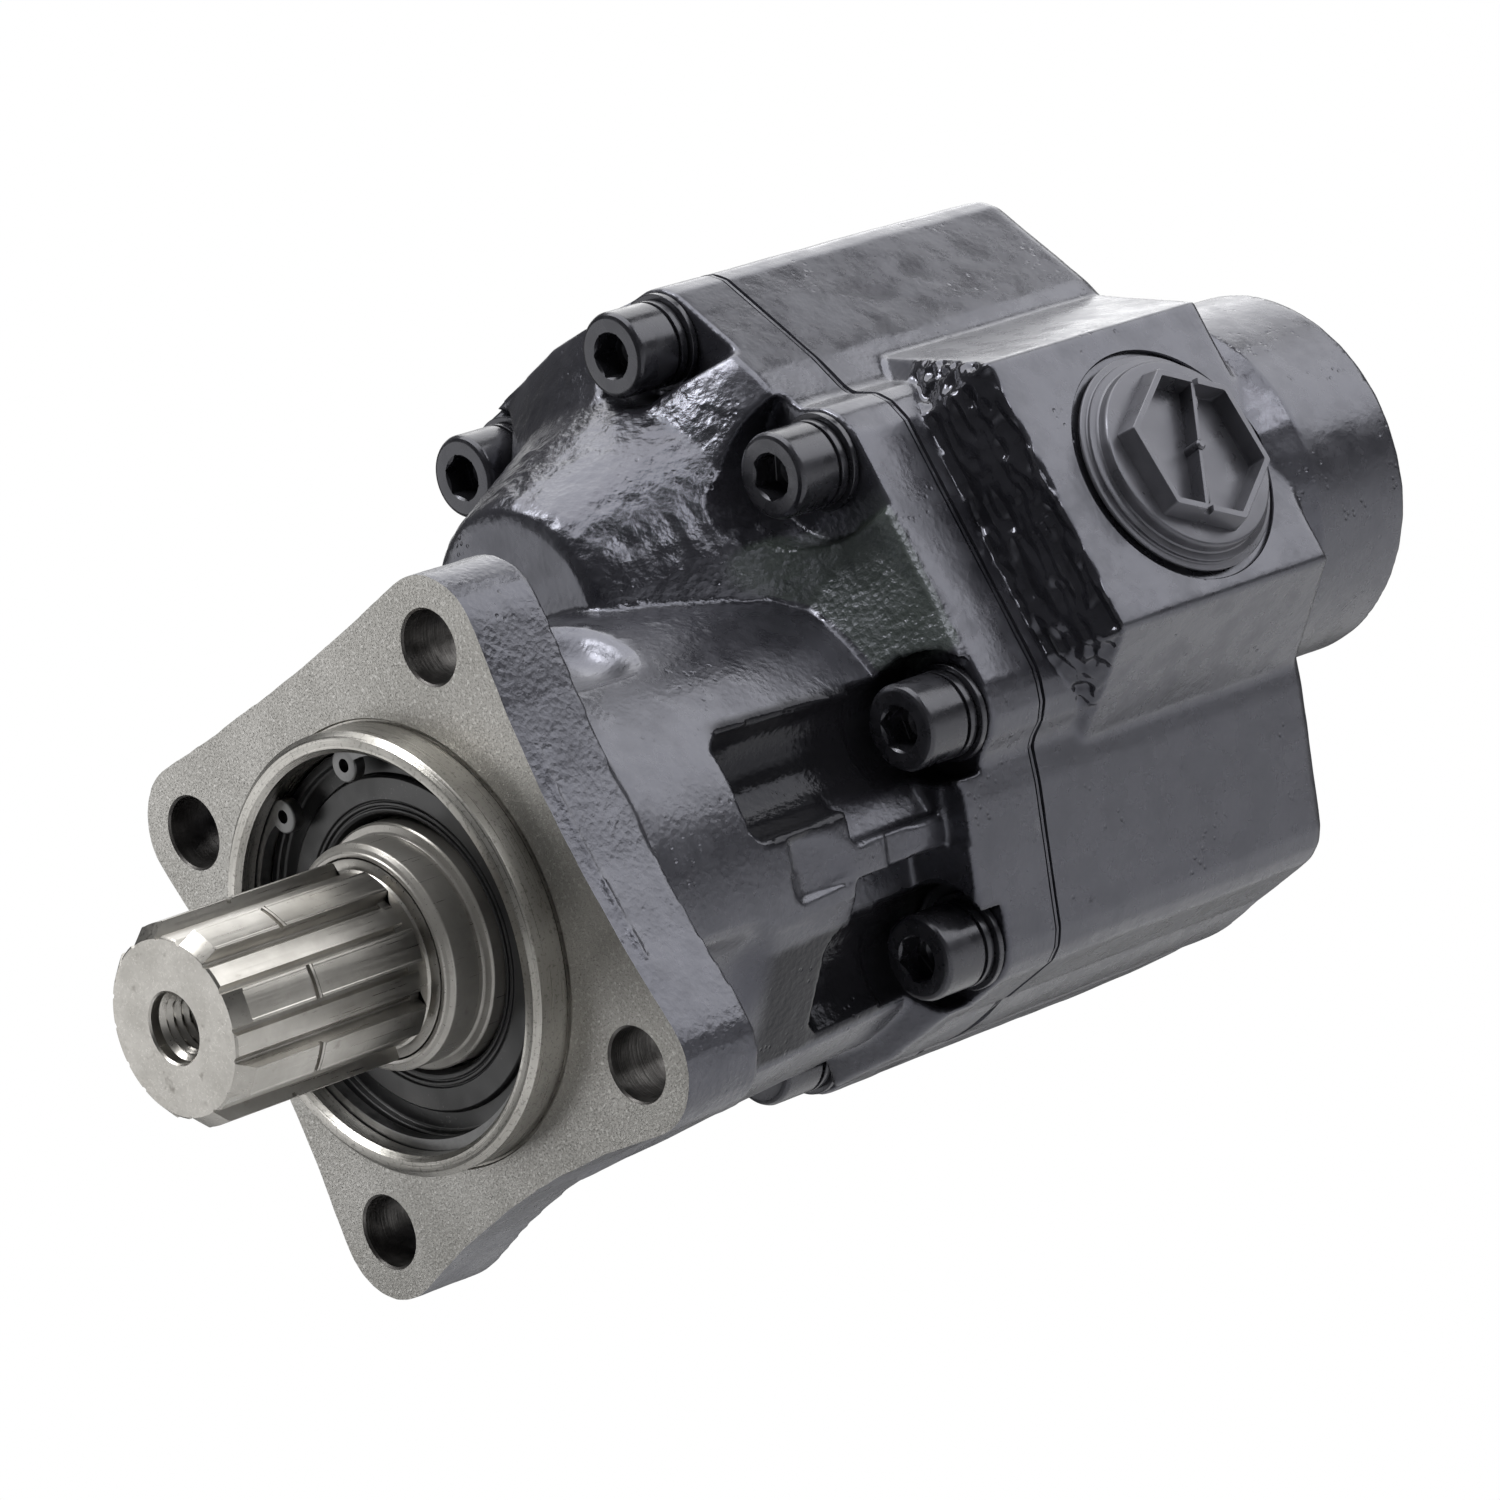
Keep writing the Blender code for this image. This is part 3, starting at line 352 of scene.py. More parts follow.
def raw_casting(name, node, stock, texture):
    """The CAD shape with stock on its machined faces, its edges rounded and its skin rough from the sand."""
    item = new_object(name, NODES[node].data.copy())
    absorb(item, *stock)
    remesh = item.modifiers.new("remesh", "REMESH")
    remesh.mode = "VOXEL"
    remesh.voxel_size = VOXEL
    bake(item)
    rounding = item.modifiers.new("rounding", "SMOOTH")
    rounding.factor = 0.5
    rounding.iterations = ROUNDING_PASSES
    bake(item)
    if node == "front_cover":
        blend_scallops(item)
    points, normals = mesh_arrays(item.data)
    offset, masks = texture(points, normals)
    points += normals * offset[:, None]
    item.data.vertices.foreach_set("co", points.ravel())
    item.data.update()
    for key, value in masks.items():
        layer = item.data.attributes.new(key, "FLOAT", "POINT")
        layer.data.foreach_set("value", np.clip(value, 0, 1))
    fewer = item.modifiers.new("fewer", "DECIMATE")
    fewer.ratio = min(1.0, CAST_TRIANGLES / (2 * len(item.data.polygons)))
    bake(item)
    return item


def blend_scallops(item):
    """Run the nut scallops softly into the neck."""
    points, _ = mesh_arrays(item.data)
    x, y, z = points.T
    away = np.hypot(np.abs(x) - BOLT_SQUARE, np.abs(z) - BOLT_SQUARE)
    chosen = (away < 0.0215) & (np.hypot(x, z) < 0.0500) & (y > 0.0190) & (y < 0.0520)
    group = item.vertex_groups.new(name="scallops")
    group.add(np.flatnonzero(chosen).tolist(), 1.0, "REPLACE")
    blending = item.modifiers.new("blending", "SMOOTH")
    blending.vertex_group = group.name
    blending.factor = 0.5
    blending.iterations = BLENDING_PASSES
    bake(item)
    item.vertex_groups.clear()


def mark_machined_edges(item):
    """Sharp edges only where a machined face is involved; the cast skin stays smooth."""
    item.data.shade_smooth()
    bm = bmesh.new()
    bm.from_mesh(item.data)
    for edge in bm.edges:
        if len(edge.link_faces) != 2:
            continue
        one, other = edge.link_faces
        if one.material_index or other.material_index:
            edge.smooth = one.normal.angle(other.normal, 0) < math.radians(28)
    bm.to_mesh(item.data)
    bm.free()
    return item


def paint_with(item, material):
    item.data.materials.clear()
    item.data.materials.append(material)
    return item


def joint_shaper(outline, side):
    """Cuts the joint face and a fine groove just behind it; side is -1 for the cover, 1 for the housing."""
    steps = [(-0.0008, 0.0026), (-0.0008, 0.0012), (-0.0001, 0.0009), (0.0009, 0.00068), (0.0009, 0.0005),
             (0.0002, 0.00028), (0.0002, 0.00002)]
    rings = [(inset(outline, depth), JOINT_Y + side * back) for depth, back in steps]
    core = loft("core", rings)
    y0, y1 = sorted((JOINT_Y + side * 0.0025, JOINT_Y - side * 0.006))
    return boolean(box("shaper", (-0.1, y0, -0.09), (0.1, y1, 0.13)), core)


def trued(points, normals, centre, radius):
    """Moves that turn the flats of a faceted round face into the true round, zero on other faces."""
    dx, dz = points[:, 0] - centre[0], points[:, 2] - centre[1]
    reach = np.maximum(np.hypot(dx, dz), 1e-6)
    facing = (normals[:, 0] * dx + normals[:, 2] * dz) / reach
    gap = radius - reach
    return gap * step(facing, 0.950, 0.985) * step(-np.abs(gap), -0.0008, -0.0004)


def cover_texture(points, normals):
    x, y, z = points.T
    neck_radius = NECK_R_FRONT + (NECK_R_REAR - NECK_R_FRONT) * (y - FLANGE_BACK) / (NECK_REAR - FLANGE_BACK)
    neck = trued(points, normals, DRIVE, neck_radius) * step(y, 0.018, 0.020) * step(-y, -0.0940, -0.0900)
    lobes = trued(points, normals, DRIVE, LOBE_R) + trued(points, normals, DRIVEN, LOBE_R)
    trueing = neck + lobes * step(y, 0.0945, 0.0960) * step(-np.abs(x), -0.0200, -0.0150)
    driven = np.hypot(x, z - AXIS_GAP)
    drive = np.hypot(x, z)
    low = 0.00012 * value_noise(points, 0.013, 1) + 0.00005 * value_noise(points, 0.0052, 2)
    fine = value_noise(points, 0.0024, 3) + 0.6 * value_noise(points, 0.0013, 4)
    cone = step(driven, 0.020, 0.024) * step(z - AXIS_GAP * 0.62, -0.004, 0.004) * step(-y, -0.094, -0.088)
    cone = cone * step(y, 0.052, 0.056)
    web = step(np.abs(x), 0.030, 0.036) * step(z, 0.004, 0.008) * step(-z, -0.044, -0.038)
    web = web * step(-normals[:, 1], -0.35, -0.15)
    web = web * step(y, 0.060, 0.070) * step(-y, -0.0975, -0.0960) * step(drive - neck_radius, 0.0004, 0.0014)
    rim = step(-y, -FLANGE_BACK, -0.0160) * step(np.maximum(np.abs(x), np.abs(z)), 0.040, 0.044)
    pads = step(-np.abs(z + 0.020), -0.012, -0.009) * step(np.abs(x), 0.040, 0.042)
    rough = np.clip(0.9 * cone + 1.3 * web + 0.22 * rim, 0, 1.3) * (1 - 0.6 * pads)
    lumps = value_noise(points, 0.0036, 5) + 0.7 * value_noise(points, 0.0019, 6)
    offset = low + trueing + fine * (0.000018 + 0.00011 * rough) + 0.00011 * cone * lumps
    coarse = np.clip(0.15 + 0.85 * web + 0.3 * cone + 0.25 * rim + 0.12 * step(-drive, -0.052, -0.048), 0, 1)
    pocket = np.zeros(len(x))
    for px, pz in SCREWS[2:6]:
        pocket = np.maximum(pocket, step(-np.hypot(x - px, z - pz), -0.0135, -0.0115))
    pocket = pocket * step(-drive, -0.0545, -0.0500) * step(-y, -0.0970, -0.0960) * step(y, 0.040, 0.048)
    crown = step(-drive, -0.060, -0.054) * step(y, 0.017, 0.019) * step(-y, -0.045, -0.030)
    crown = crown * step(z, 0.030, 0.036)
    wet = np.clip(0.5 * cone + pocket + 0.8 * crown, 0, 1)
    # The pocket mask also goes to the paint as painted shade, making the screw pockets near black.
    return offset, {"coarse": coarse, "wet": wet, "painted_shade": pocket}


def housing_texture(points, normals):
    x, y = points[:, 0], points[:, 1]
    low = 0.00013 * value_noise(points, 0.015, 11) + 0.00005 * value_noise(points, 0.0055, 12)
    fine = value_noise(points, 0.0026, 13) + 0.6 * value_noise(points, 0.0014, 14)
    wall = step(np.abs(x), 0.0530, 0.0560) * step(-y, -0.1300, -0.1180) * step(-normals[:, 1], 0.15, 0.45)
    runs = value_noise(points, (0.0026, 0.0026, 0.0090), 15)
    runs = runs + 0.55 * value_noise(points, (0.0015, 0.0015, 0.0040), 16)
    ridges = 1 - np.abs(runs) * 1.8
    knobs = value_noise(points, 0.0016, 17)
    trueing = trued(points, normals, DRIVE, LOBE_R) + trued(points, normals, DRIVEN, LOBE_R)
    trueing = trueing * step(-np.abs(x), -0.0200, -0.0150)
    for side in (-1, 1):
        trueing += trued(points, normals, (side * REAR_X, PORT_Z), REAR_R) * step(y, 0.1780, 0.1810)
    offset = low + trueing + 0.00002 * fine + wall * (0.00075 * ridges - 0.0006 + 0.00022 * knobs)
    # The block's front wall takes painted shade at 0.4 strength in the paint.
    return offset, {"coarse": np.full(len(x), 0.10), "wet": wall, "painted_shade": 0.4 * wall}


def build_front_cover(paint, paint_edge, iron, turned, bored):
    outline = ring_outline("rear_housing", OUTLINE_PLANE)
    stock = [rod("s", DRIVE, 0.0412, PILOT_FRONT - FACE_STOCK, 0.0200),
             rod("s", DRIVE, 0.0285, 0.0150, 0.0750),
             rod("s", DRIVE, BUSH_STOCK_R, 0.0650, 0.1115),
             rod("s", DRIVEN, BUSH_STOCK_R, 0.0600, 0.1115),
             prism("s", outline, 0.1075, 0.1112)]
    stock += [rod("s", centre, 0.0080, -FACE_STOCK, FLANGE_BACK) for centre in FLANGE_HOLES]
    stock += [rod("s", centre, SCREW_STOCK_R, 0.0967, 0.1110) for centre in SCREWS]
    stock += [rod("s", (x, MID_Z), DOWEL_STOCK_R, 0.1005, 0.1110) for x in (-DOWEL_X, DOWEL_X)]
    stock.append(flange_slab(NODES["front_cover"].data))
    cover = raw_casting("front_cover_casting", "front_cover", stock, cover_texture)
    paint_with(cover, paint)
    plane = lathe("plane", [(PILOT_R + 0.0006, -0.03), (0.10, -0.03), (0.10, 0.0), (PILOT_R + 0.0006, 0.0)],
                  segments=160)
    boolean(cover, paint_with(plane, iron))
    pilot = [(0, -0.03), (0, PILOT_FRONT), (0.0385, PILOT_FRONT), (0.0389, PILOT_FRONT + 0.0001),
             (PILOT_R, -0.0064), (PILOT_R, -0.0001), (PILOT_R - 0.0003, 0.0002), (PILOT_R - 0.0002, 0.0005),
             (PILOT_R + 0.0004, 0.0005), (PILOT_R + 0.0007, 0.0), (PILOT_R + 0.0007, -0.03)]
    boolean(cover, paint_with(lathe("pilot", pilot, segments=160), turned))
    bore = [(0, -0.02), (0.0371, -0.02), (0.0371, PILOT_FRONT), (SEAL_BORE_R, -0.0065),
            (SEAL_BORE_R, -0.0035), (0.0380, -0.0035), (0.0380, -0.0006), (SEAL_BORE_R, -0.0006),
            (SEAL_BORE_R, 0.0190), (0.0270, 0.0190), (0.0270, 0.0660), (0.0190, 0.0660), (0.0190, 0.0690),
            (BUSH_SEAT_R, 0.0690), (BUSH_SEAT_R, 0.1108), (0.0229, 0.1150), (0, 0.1150)]
    boolean(cover, paint_with(lathe("bore", bore, segments=128), turned))
    boolean(cover, paint_with(rod("b", DRIVEN, BUSH_SEAT_R, 0.0610, 0.116, 96), turned))
    hole = [(0, -0.01), (0.0070, -0.01), (0.0070, 0.0), (0.0066, 0.0004), (0.0066, 0.0164), (0.0071, 0.0170),
            (0.0071, 0.0185), (0, 0.0185)]
    for centre in FLANGE_HOLES:
        boolean(cover, paint_with(lathe("h", hole, centre, 64), bored))
    for centre in SCREWS:
        boolean(cover, paint_with(rod("h", centre, 0.0054, 0.0900, 0.1150, 40), turned))
    for x in (-DOWEL_X, DOWEL_X):
        boolean(cover, paint_with(rod("h", (x, MID_Z), DOWEL_HOLE_R, 0.1020, 0.1150, 32), turned))
    boolean(cover, paint_with(joint_shaper(outline, -1), paint_edge))
    return mark_machined_edges(cover)


def flange_slab(source):
    """The flange's front outline, grown forward by the stock that the face cut takes off."""
    found = {}
    for vertex in source.vertices:
        if abs(vertex.co.y) < 1e-5 and max(abs(vertex.co.x), abs(vertex.co.z)) > 0.0395:
            x, z = vertex.co.x, vertex.co.z
            on_hole = math.hypot(abs(x) - BOLT_SQUARE, abs(z) - BOLT_SQUARE) < 0.0075
            if on_hole or math.hypot(x, z) < PILOT_R + 0.0005:
                continue
            found[(round(x, 6), round(z, 6))] = math.atan2(z, x)
    outline = inset(sorted(found, key=found.get), 0.0001)
    return prism("s", outline, -FACE_STOCK, 0.0030)


def side_port(name, profile, side):
    """Turn a (radius, distance out along X) profile about a side port's axis."""
    item = lathe(name, [(r, -d) for r, d in profile])
    turn(item, Matrix.Rotation(math.radians(90 * side), 4, "Z"))
    return turn(item, Matrix.Translation((0, PORT_Y, PORT_Z)))


def port_profile(start, face, end):
    """A port's cut as (radius, distance): passage from start, threaded bore, spot face, then out to end."""
    return [(0, start), (PASSAGE_R, start), (PASSAGE_R, face - 0.020), (0.0166, face - 0.020),
            (0.0166, face - 0.0016), (0.0173, face - 0.0010), (0.0228, face - 0.0010),
            (0.0229, face - 0.0003), (0.0233, face + 0.0002), (0.0233, end), (0, end)]


def build_housing(paint, paint_edge, turned):
    outline = ring_outline("rear_housing", OUTLINE_PLANE)
    stock = [prism("s", outline, 0.1088, 0.1125), prism("s", stadium(0.0362), 0.1088, 0.1785),
             box("s", (-0.050, 0.1170, 0.0130), (0.050, 0.1550, 0.0340))]
    plug_stock = [(0, 0.020), (PORT_STOCK_R, 0.020), (PORT_STOCK_R, BLOCK_X), (0, BLOCK_X)]
    for side in (-1, 1):
        stock.append(side_port("s", plug_stock, side))
        stock.append(rod("s", (side * REAR_X, PORT_Z), PORT_STOCK_R, 0.1480, REAR_END))
        stock.append(rod("s", (side * DOWEL_X, MID_Z), DOWEL_STOCK_R, 0.1090, 0.1190))
    stock += [rod("s", centre, SCREW_STOCK_R, 0.1090, 0.1370) for centre in SCREWS]
    housing = raw_casting("rear_housing_casting", "rear_housing", stock, housing_texture)
    paint_with(housing, paint)
    cutters = []
    for centre in (DRIVE, DRIVEN):
        cutters.append(rod("c", centre, GEAR_BORE_R, 0.1000, 0.1564, 96))
        cutters.append(rod("c", centre, BUSH_SEAT_R, 0.1500, 0.1780, 96))
    for side in (-1, 1):
        near, far = sorted((side * 0.010, side * 0.046))
        cutters.append(box("c", (near, 0.1190, MID_Z - 0.0085), (far, 0.1510, MID_Z + 0.0085)))
        cutters.append(rod("c", (side * DOWEL_X, MID_Z), DOWEL_HOLE_R, 0.1050, 0.1180, 32))
    for centre in SCREWS:
        cutters.append(rod("c", centre, 0.0053, 0.1050, 0.1360, 40))
    groove = prism("c", stadium(0.0348), 0.100, JOINT_Y + 0.00235)
    cutters.append(boolean(groove, prism("core", stadium(0.0313), 0.09, 0.12)))
    for cutter in cutters:
        boolean(housing, paint_with(cutter, turned))
    for side in (-1, 1):
        port = port_profile(0.030, BLOCK_X, 0.09)
        boolean(housing, paint_with(side_port("c", port, side), paint_edge))
        rear = port_profile(0.150, REAR_END, 0.22)
        boolean(housing, paint_with(lathe("c", rear, (side * REAR_X, PORT_Z)), paint_edge))
    boolean(housing, paint_with(joint_shaper(outline, 1), paint_edge))
    return mark_machined_edges(housing)


# ---------------------------------------------------------------- turned and toothed parts

def polar_run(radius, start, end, count):
    angles = [start + (end - start) * i / count for i in range(count + 1)]
    return [(radius * math.cos(a), radius * math.sin(a)) for a in angles]


def spline_outline():
    """Eight parallel-sided lands, each between two relief grooves, with the bottom-diameter arcs between."""
    root, top, relief, half = 0.01605, 0.0180, 0.01500, 0.0030
    pitch = math.radians(45)
    points = []
    for k in range(8):
        middle = math.radians(-12) + k * pitch
        groove_out = math.asin((half + 0.0014) / root)
        points += polar_run(root, middle - pitch / 2, middle - groove_out, 6)
        ends = [(relief + 0.0002, -half - 0.00105), (relief, -half - 0.0007), (relief, -half - 0.0002),
                (relief + 0.0002, -half), (top - 0.0002, -half), (top - 0.00003, -half + 0.00022)]
        crown = [(math.sqrt(top ** 2 - v ** 2), v) for v in np.linspace(-half + 0.0006, half - 0.0006, 7)]
        mirrored = [(u, -v) for u, v in reversed(ends)]
        c, s = math.cos(middle), math.sin(middle)
        points += [(u * c - v * s, u * s + v * c) for u, v in ends + crown + mirrored]
        points += polar_run(root, middle + groove_out, middle + pitch / 2, 6)[:-1]
    return points


def gear_outline(centre, first_tooth):
    pressure = math.radians(28.0)
    pitch_r = AXIS_GAP / 2
    base = pitch_r * math.cos(pressure)
    thickness = math.pi * AXIS_GAP / TEETH / 2 - 0.00025
    half_pitch = thickness / (2 * pitch_r) + math.tan(pressure) - pressure

    def half_angle(radius):
        if radius <= base:
            return half_pitch
        a = math.acos(base / radius)
        return half_pitch - (math.tan(a) - a)

    radii = [base + (TIP_R - base) * i / 8 for i in range(9)]
    flank = [(ROOT_R, half_angle(base) + 0.03), (ROOT_R + 0.0004, half_angle(base) + 0.008)]
    flank += [(r, half_angle(r)) for r in radii]
    points = []
    for tooth in range(TEETH):
        middle = first_tooth + 2 * math.pi * tooth / TEETH
        points += [(r, middle - half) for r, half in flank]
        points += [(r, middle + half) for r, half in reversed(flank)]
    return [(centre[0] + r * math.cos(a), centre[1] + r * math.sin(a)) for r, a in points]


def threaded_rod(name, centre, minor, major, pitch, y0, y1, segments=48, per_pitch=8):
    """A rod whose side is one helical ridge."""
    bm = bmesh.new()
    count = int(round((y1 - y0) / pitch * per_pitch))
    rows = []
    for j in range(count + 1):
        y = y0 + (y1 - y0) * j / count
        row = []
        for i in range(segments):
            t = ((y - y0) / pitch - i / segments) % 1.0
            ridge = min(1.0, max(0.0, 1.15 * (1 - abs(2 * t - 1)) - 0.08))
            r = minor + (major - minor) * ridge
            a = 2 * math.pi * i / segments
            row.append(bm.verts.new((centre[0] + r * math.cos(a), y, centre[1] + r * math.sin(a))))
        rows.append(row)
    for low, high in zip(rows, rows[1:]):
        for i in range(segments):
            j = (i + 1) % segments
            bm.faces.new((low[i], low[j], high[j], high[i]))
    for row, y in ((rows[0], y0), (rows[-1], y1)):
        tip = bm.verts.new((centre[0], y, centre[1]))
        for i in range(segments):
            bm.faces.new((row[i], row[(i + 1) % segments], tip))
    return from_bmesh(name, bm)


def build_drive_shaft(ground):
    shaft = prism("drive_gear_shaft_turned", spline_outline(), SHAFT_END - 0.0005, SPLINE_END)
    ends = [(0, SHAFT_END), (0.01565, SHAFT_END), (0.01580, SHAFT_END + 0.00012), (0.0181, -0.0513),
            (0.0181, -0.0371), (0.01795, -0.0370), (0.0173, -0.0369), (0.0172, -0.0362), (0.0179, -0.0361),
            (0.0179, -0.0356), (0.0181, -0.0355), (0.0181, SPLINE_END - 0.0004),
            (0.0177, SPLINE_END + 0.0004), (0, SPLINE_END + 0.0004)]
    boolean(shaft, lathe("envelope", ends, segments=128), "INTERSECT")
    core = [(0, SPLINE_END - 0.002), (0.0158, SPLINE_END - 0.002), (0.0158, -0.0102), (0.0162, -0.0098),
            (0.0170, -0.0096), (0.0179, -0.0092), (JOURNAL_R, JOURNAL_END - 0.001),
            (JOURNAL_R - 0.001, JOURNAL_END), (0, JOURNAL_END)]
    boolean(shaft, lathe("core", core, segments=128), "UNION")
    teeth = prism("teeth", gear_outline(DRIVE, math.pi / 2), *GEAR_Y)
    boolean(shaft, bevel_edges(teeth, 0.0003, 1, 60), "UNION")
    mouth = lathe("mouth", [(0, SHAFT_END - 0.006), (0.0066, SHAFT_END - 0.006), (0.0066, SHAFT_END),
                            (0.0063, SHAFT_END + 0.0004), (0.0063, SHAFT_END + 0.0022),
                            (0.0056, SHAFT_END + 0.0030), (0.0051, SHAFT_END + 0.0040),
                            (0, SHAFT_END + 0.0040)])
    thread = threaded_rod("thread", DRIVE, 0.0051, 0.0060, 0.00175, SHAFT_END + 0.0002, SHAFT_END + 0.0265)
    boolean(shaft, thread)
    boolean(shaft, mouth)
    drill = [(0, SHAFT_END + 0.020), (0.0051, SHAFT_END + 0.020), (0.0051, -0.0265), (0, -0.0240)]
    boolean(shaft, lathe("drill", drill, segments=48))
    soft(shaft, 25)
    return finish_piece(shaft, "drive_shaft", "ground_steel", ["drive_gear_shaft"], ground)


def build_driven_shaft(ground):
    profile = [(0, 0.0625), (JOURNAL_R - 0.001, 0.0625), (JOURNAL_R, 0.0635),
               (JOURNAL_R, JOURNAL_END - 0.001), (JOURNAL_R - 0.001, JOURNAL_END), (0, JOURNAL_END)]
    shaft = lathe("driven_gear_shaft_turned", profile, DRIVEN, 128, 0.0002)
    teeth = prism("teeth", gear_outline(DRIVEN, -math.pi / 2 + math.pi / TEETH), *GEAR_Y)
    boolean(shaft, bevel_edges(teeth, 0.0003, 1, 60), "UNION")
    return finish_piece(soft(shaft, 25), "driven_shaft", "ground_steel", ["driven_gear_shaft"], ground)


def build_sleeve(ground):
    profile = [(0.0182, -0.0092), (0.0189, -0.0092), (0.0191, -0.0089), (0.0197, -0.0086), (0.0204, -0.0080),
               (0.0205, -0.0077), (0.0205, -0.0024), (0.0202, -0.0021), (0.0202, -0.0014), (0.0207, -0.0011),
               (0.0219, -0.0009), (0.0223, -0.0005), (0.0223, 0.0188), (0.0182, 0.0188)]
    sleeve = soft(lathe("shaft_sleeve_ground", profile, segments=160, bevel=0.00012))
    return finish_piece(sleeve, "drive_shaft", "ground_steel", ["shaft_sleeve"], ground)


def build_seals(rubber):
    profile = [(0.0228, 0.0023), (0.0232, 0.0013), (0.0236, 0.0006), (0.0241, 0.0004), (0.0244, 0.0004),
               (0.0245, 0.0009), (0.0248, 0.0009), (0.0250, 0.0004), (0.0255, 0.0004), (0.0256, 0.0008),
               (0.0258, 0.0008), (0.0260, 0.0004), (0.0300, 0.0004), (0.0304, 0.0008), (0.0306, 0.0015),
               (0.0336, 0.0015), (0.0340, 0.0012), (0.0342, 0.0002), (0.0345, 0.0), (0.0356, 0.0),
               (0.0359, 0.0003), (0.0359, 0.0078), (0.0260, 0.0078), (0.0252, 0.0062), (0.0245, 0.0050),
               (0.0238, 0.0046), (0.0231, 0.0034)]
    for name, front in (("outer_shaft_seal", 0.0002), ("inner_shaft_seal", 0.0090)):
        seal = lathe(f"{name}_moulded", [(r, front + y) for r, y in profile], segments=160, bevel=0.00012)
        finish_piece(soft(seal, 50), "housing", "seal_rubber", [name], rubber)


def build_retaining_ring(steel):
    """A plier circlip: a slim ring, wider opposite its gap, with two eyelets."""
    gap_middle, half_gap = math.radians(91.5), math.radians(18.5)
    count = 120
    bm = bmesh.new()
    rows = []
    for i in range(count + 1):
        t = i / count
        a = gap_middle + half_gap + (2 * math.pi - 2 * half_gap) * t
        near_end = max(0, 1 - t / 0.045) ** 2 + max(0, 1 - (1 - t) / 0.045) ** 2
        inner = 0.0376 - (0.0026 + 0.0009 * math.sin(math.pi * t) ** 2 + 0.0022 * near_end)
        rows.append([bm.verts.new((r * math.cos(a), y, r * math.sin(a)))
                     for r, y in ((inner, -0.0032), (0.0376, -0.0032), (0.0376, -0.0009), (inner, -0.0009))])
    for low, high in zip(rows, rows[1:]):
        for k in range(4):
            bm.faces.new((low[k], low[(k + 1) % 4], high[(k + 1) % 4], high[k]))
    bm.faces.new(rows[0])
    bm.faces.new(rows[-1])
    ring = from_bmesh("retaining_ring_pressed", bm)
    for sign in (-1, 1):
        a = gap_middle + sign * half_gap
        eye = (0.0333 * math.cos(a), 0.0333 * math.sin(a))
        pad = [(0, -0.00322), (0.0031, -0.00322), (0.0031, -0.00088), (0, -0.00088)]
        boolean(ring, lathe("eyelet", pad, eye, 48, 0.0003), "UNION")
        boolean(ring, rod("hole", eye, 0.00125, -0.006, 0.002, 32))
    finish_piece(soft(ring), "housing", "spring_steel", ["retaining_ring"], steel)


# ---------------------------------------------------------------- screws, washers and plugs

def hexagon(flat, phase=0.0):
    corner = flat / math.sqrt(3)
    angles = [phase + math.pi * i / 3 for i in range(6)]
    return [(corner * math.cos(a), corner * math.sin(a)) for a in angles]


def build_screws(paint, washer_paint):
    """Socket-head cap screws with rounded heads, chamfered hexagon sockets and rolled threads."""
    front = HEAD_FRONT
    head = [(0, front), (0.0050, front), (0.0067, front), (0.0070, front + 0.00006), (0.0075, front + 0.0003),
            (0.0078, front + 0.0007), (0.0080, front + 0.0012), (0.0080, HEAD_BACK - 0.0005),
            (0.0078, HEAD_BACK - 0.0001), (0.0074, HEAD_BACK), (0.0049, HEAD_BACK), (0.0049, 0.1090),
            (0.0042, 0.1098), (0.0042, 0.1110), (0, 0.1110)]
    master = lathe("screw_master", head, segments=96)
    boolean(master, threaded_rod("thread", DRIVE, 0.0042, 0.0049, 0.0015, 0.1100, 0.1335, 32, 6), "UNION")
    socket = bevel_edges(prism("socket", hexagon(0.0080), front - 0.004, front + 0.0055), 0.00012, 1, 30)
    boolean(master, socket)
    boolean(master, lathe("lead_in", [(0, front - 0.002), (0.00620, front - 0.002), (0.0040, front + 0.0005),
                                      (0, front + 0.0005)], segments=48))
    drill = [(0, front + 0.005), (0.0036, front + 0.005), (0, front + 0.0072)]
    boolean(master, lathe("drill", drill, segments=48))
    soft(master, 22)
    spring = spring_washer_mesh()
    flat = lathe("flat_master", [(0.0053, 0.0950), (0.0091, 0.0950), (0.0091, 0.0963), (0.0053, 0.0963)],
                 bevel=0.00025)
    soft(flat)
    for k, (x, z) in enumerate(SCREWS, start=1):
        phase = math.radians(11 + 23 * k)
        place = Matrix.Translation((x, 0, z)) @ Matrix.Rotation(-phase, 4, "Y")
        split = Matrix.Translation((x, 0, z)) @ Matrix.Rotation(-phase - 1.0, 4, "Y")
        for source, matrix, kind, material in ((master, place, "cap_screw", paint),
                                               (spring, split, "spring_washer", washer_paint),
                                               (flat, place, "flat_washer", washer_paint)):
            piece = new_object(f"{kind}_{k}_painted", source.data.copy())
            piece.data.transform(matrix)
            finish_piece(piece, "housing", "black_steel", [f"{kind}_{k}"], material)
    for item in (master, spring, flat):
        bpy.data.objects.remove(item, do_unlink=True)


def spring_washer_mesh():
    """A split ring of trapezoid section whose ends stand a little apart."""
    bm = bmesh.new()
    corners = [(0.0052, 0.09312), (0.0081, 0.09306), (0.0081, 0.09474), (0.0052, 0.09468)]
    section = round_corners(corners, 0.0003, 2)
    half_gap, steps = 0.07, 72
    rows = []
    for i in range(steps + 1):
        a = half_gap + (2 * math.pi - 2 * half_gap) * i / steps
        rows.append([bm.verts.new((r * math.cos(a), y, r * math.sin(a))) for r, y in section])
    for low, high in zip(rows, rows[1:]):
        for i in range(len(section)):
            j = (i + 1) % len(section)
            bm.faces.new((low[i], low[j], high[j], high[i]))
    bm.faces.new(rows[0])
    bm.faces.new(rows[-1])
    return soft(from_bmesh("spring_master", bm))


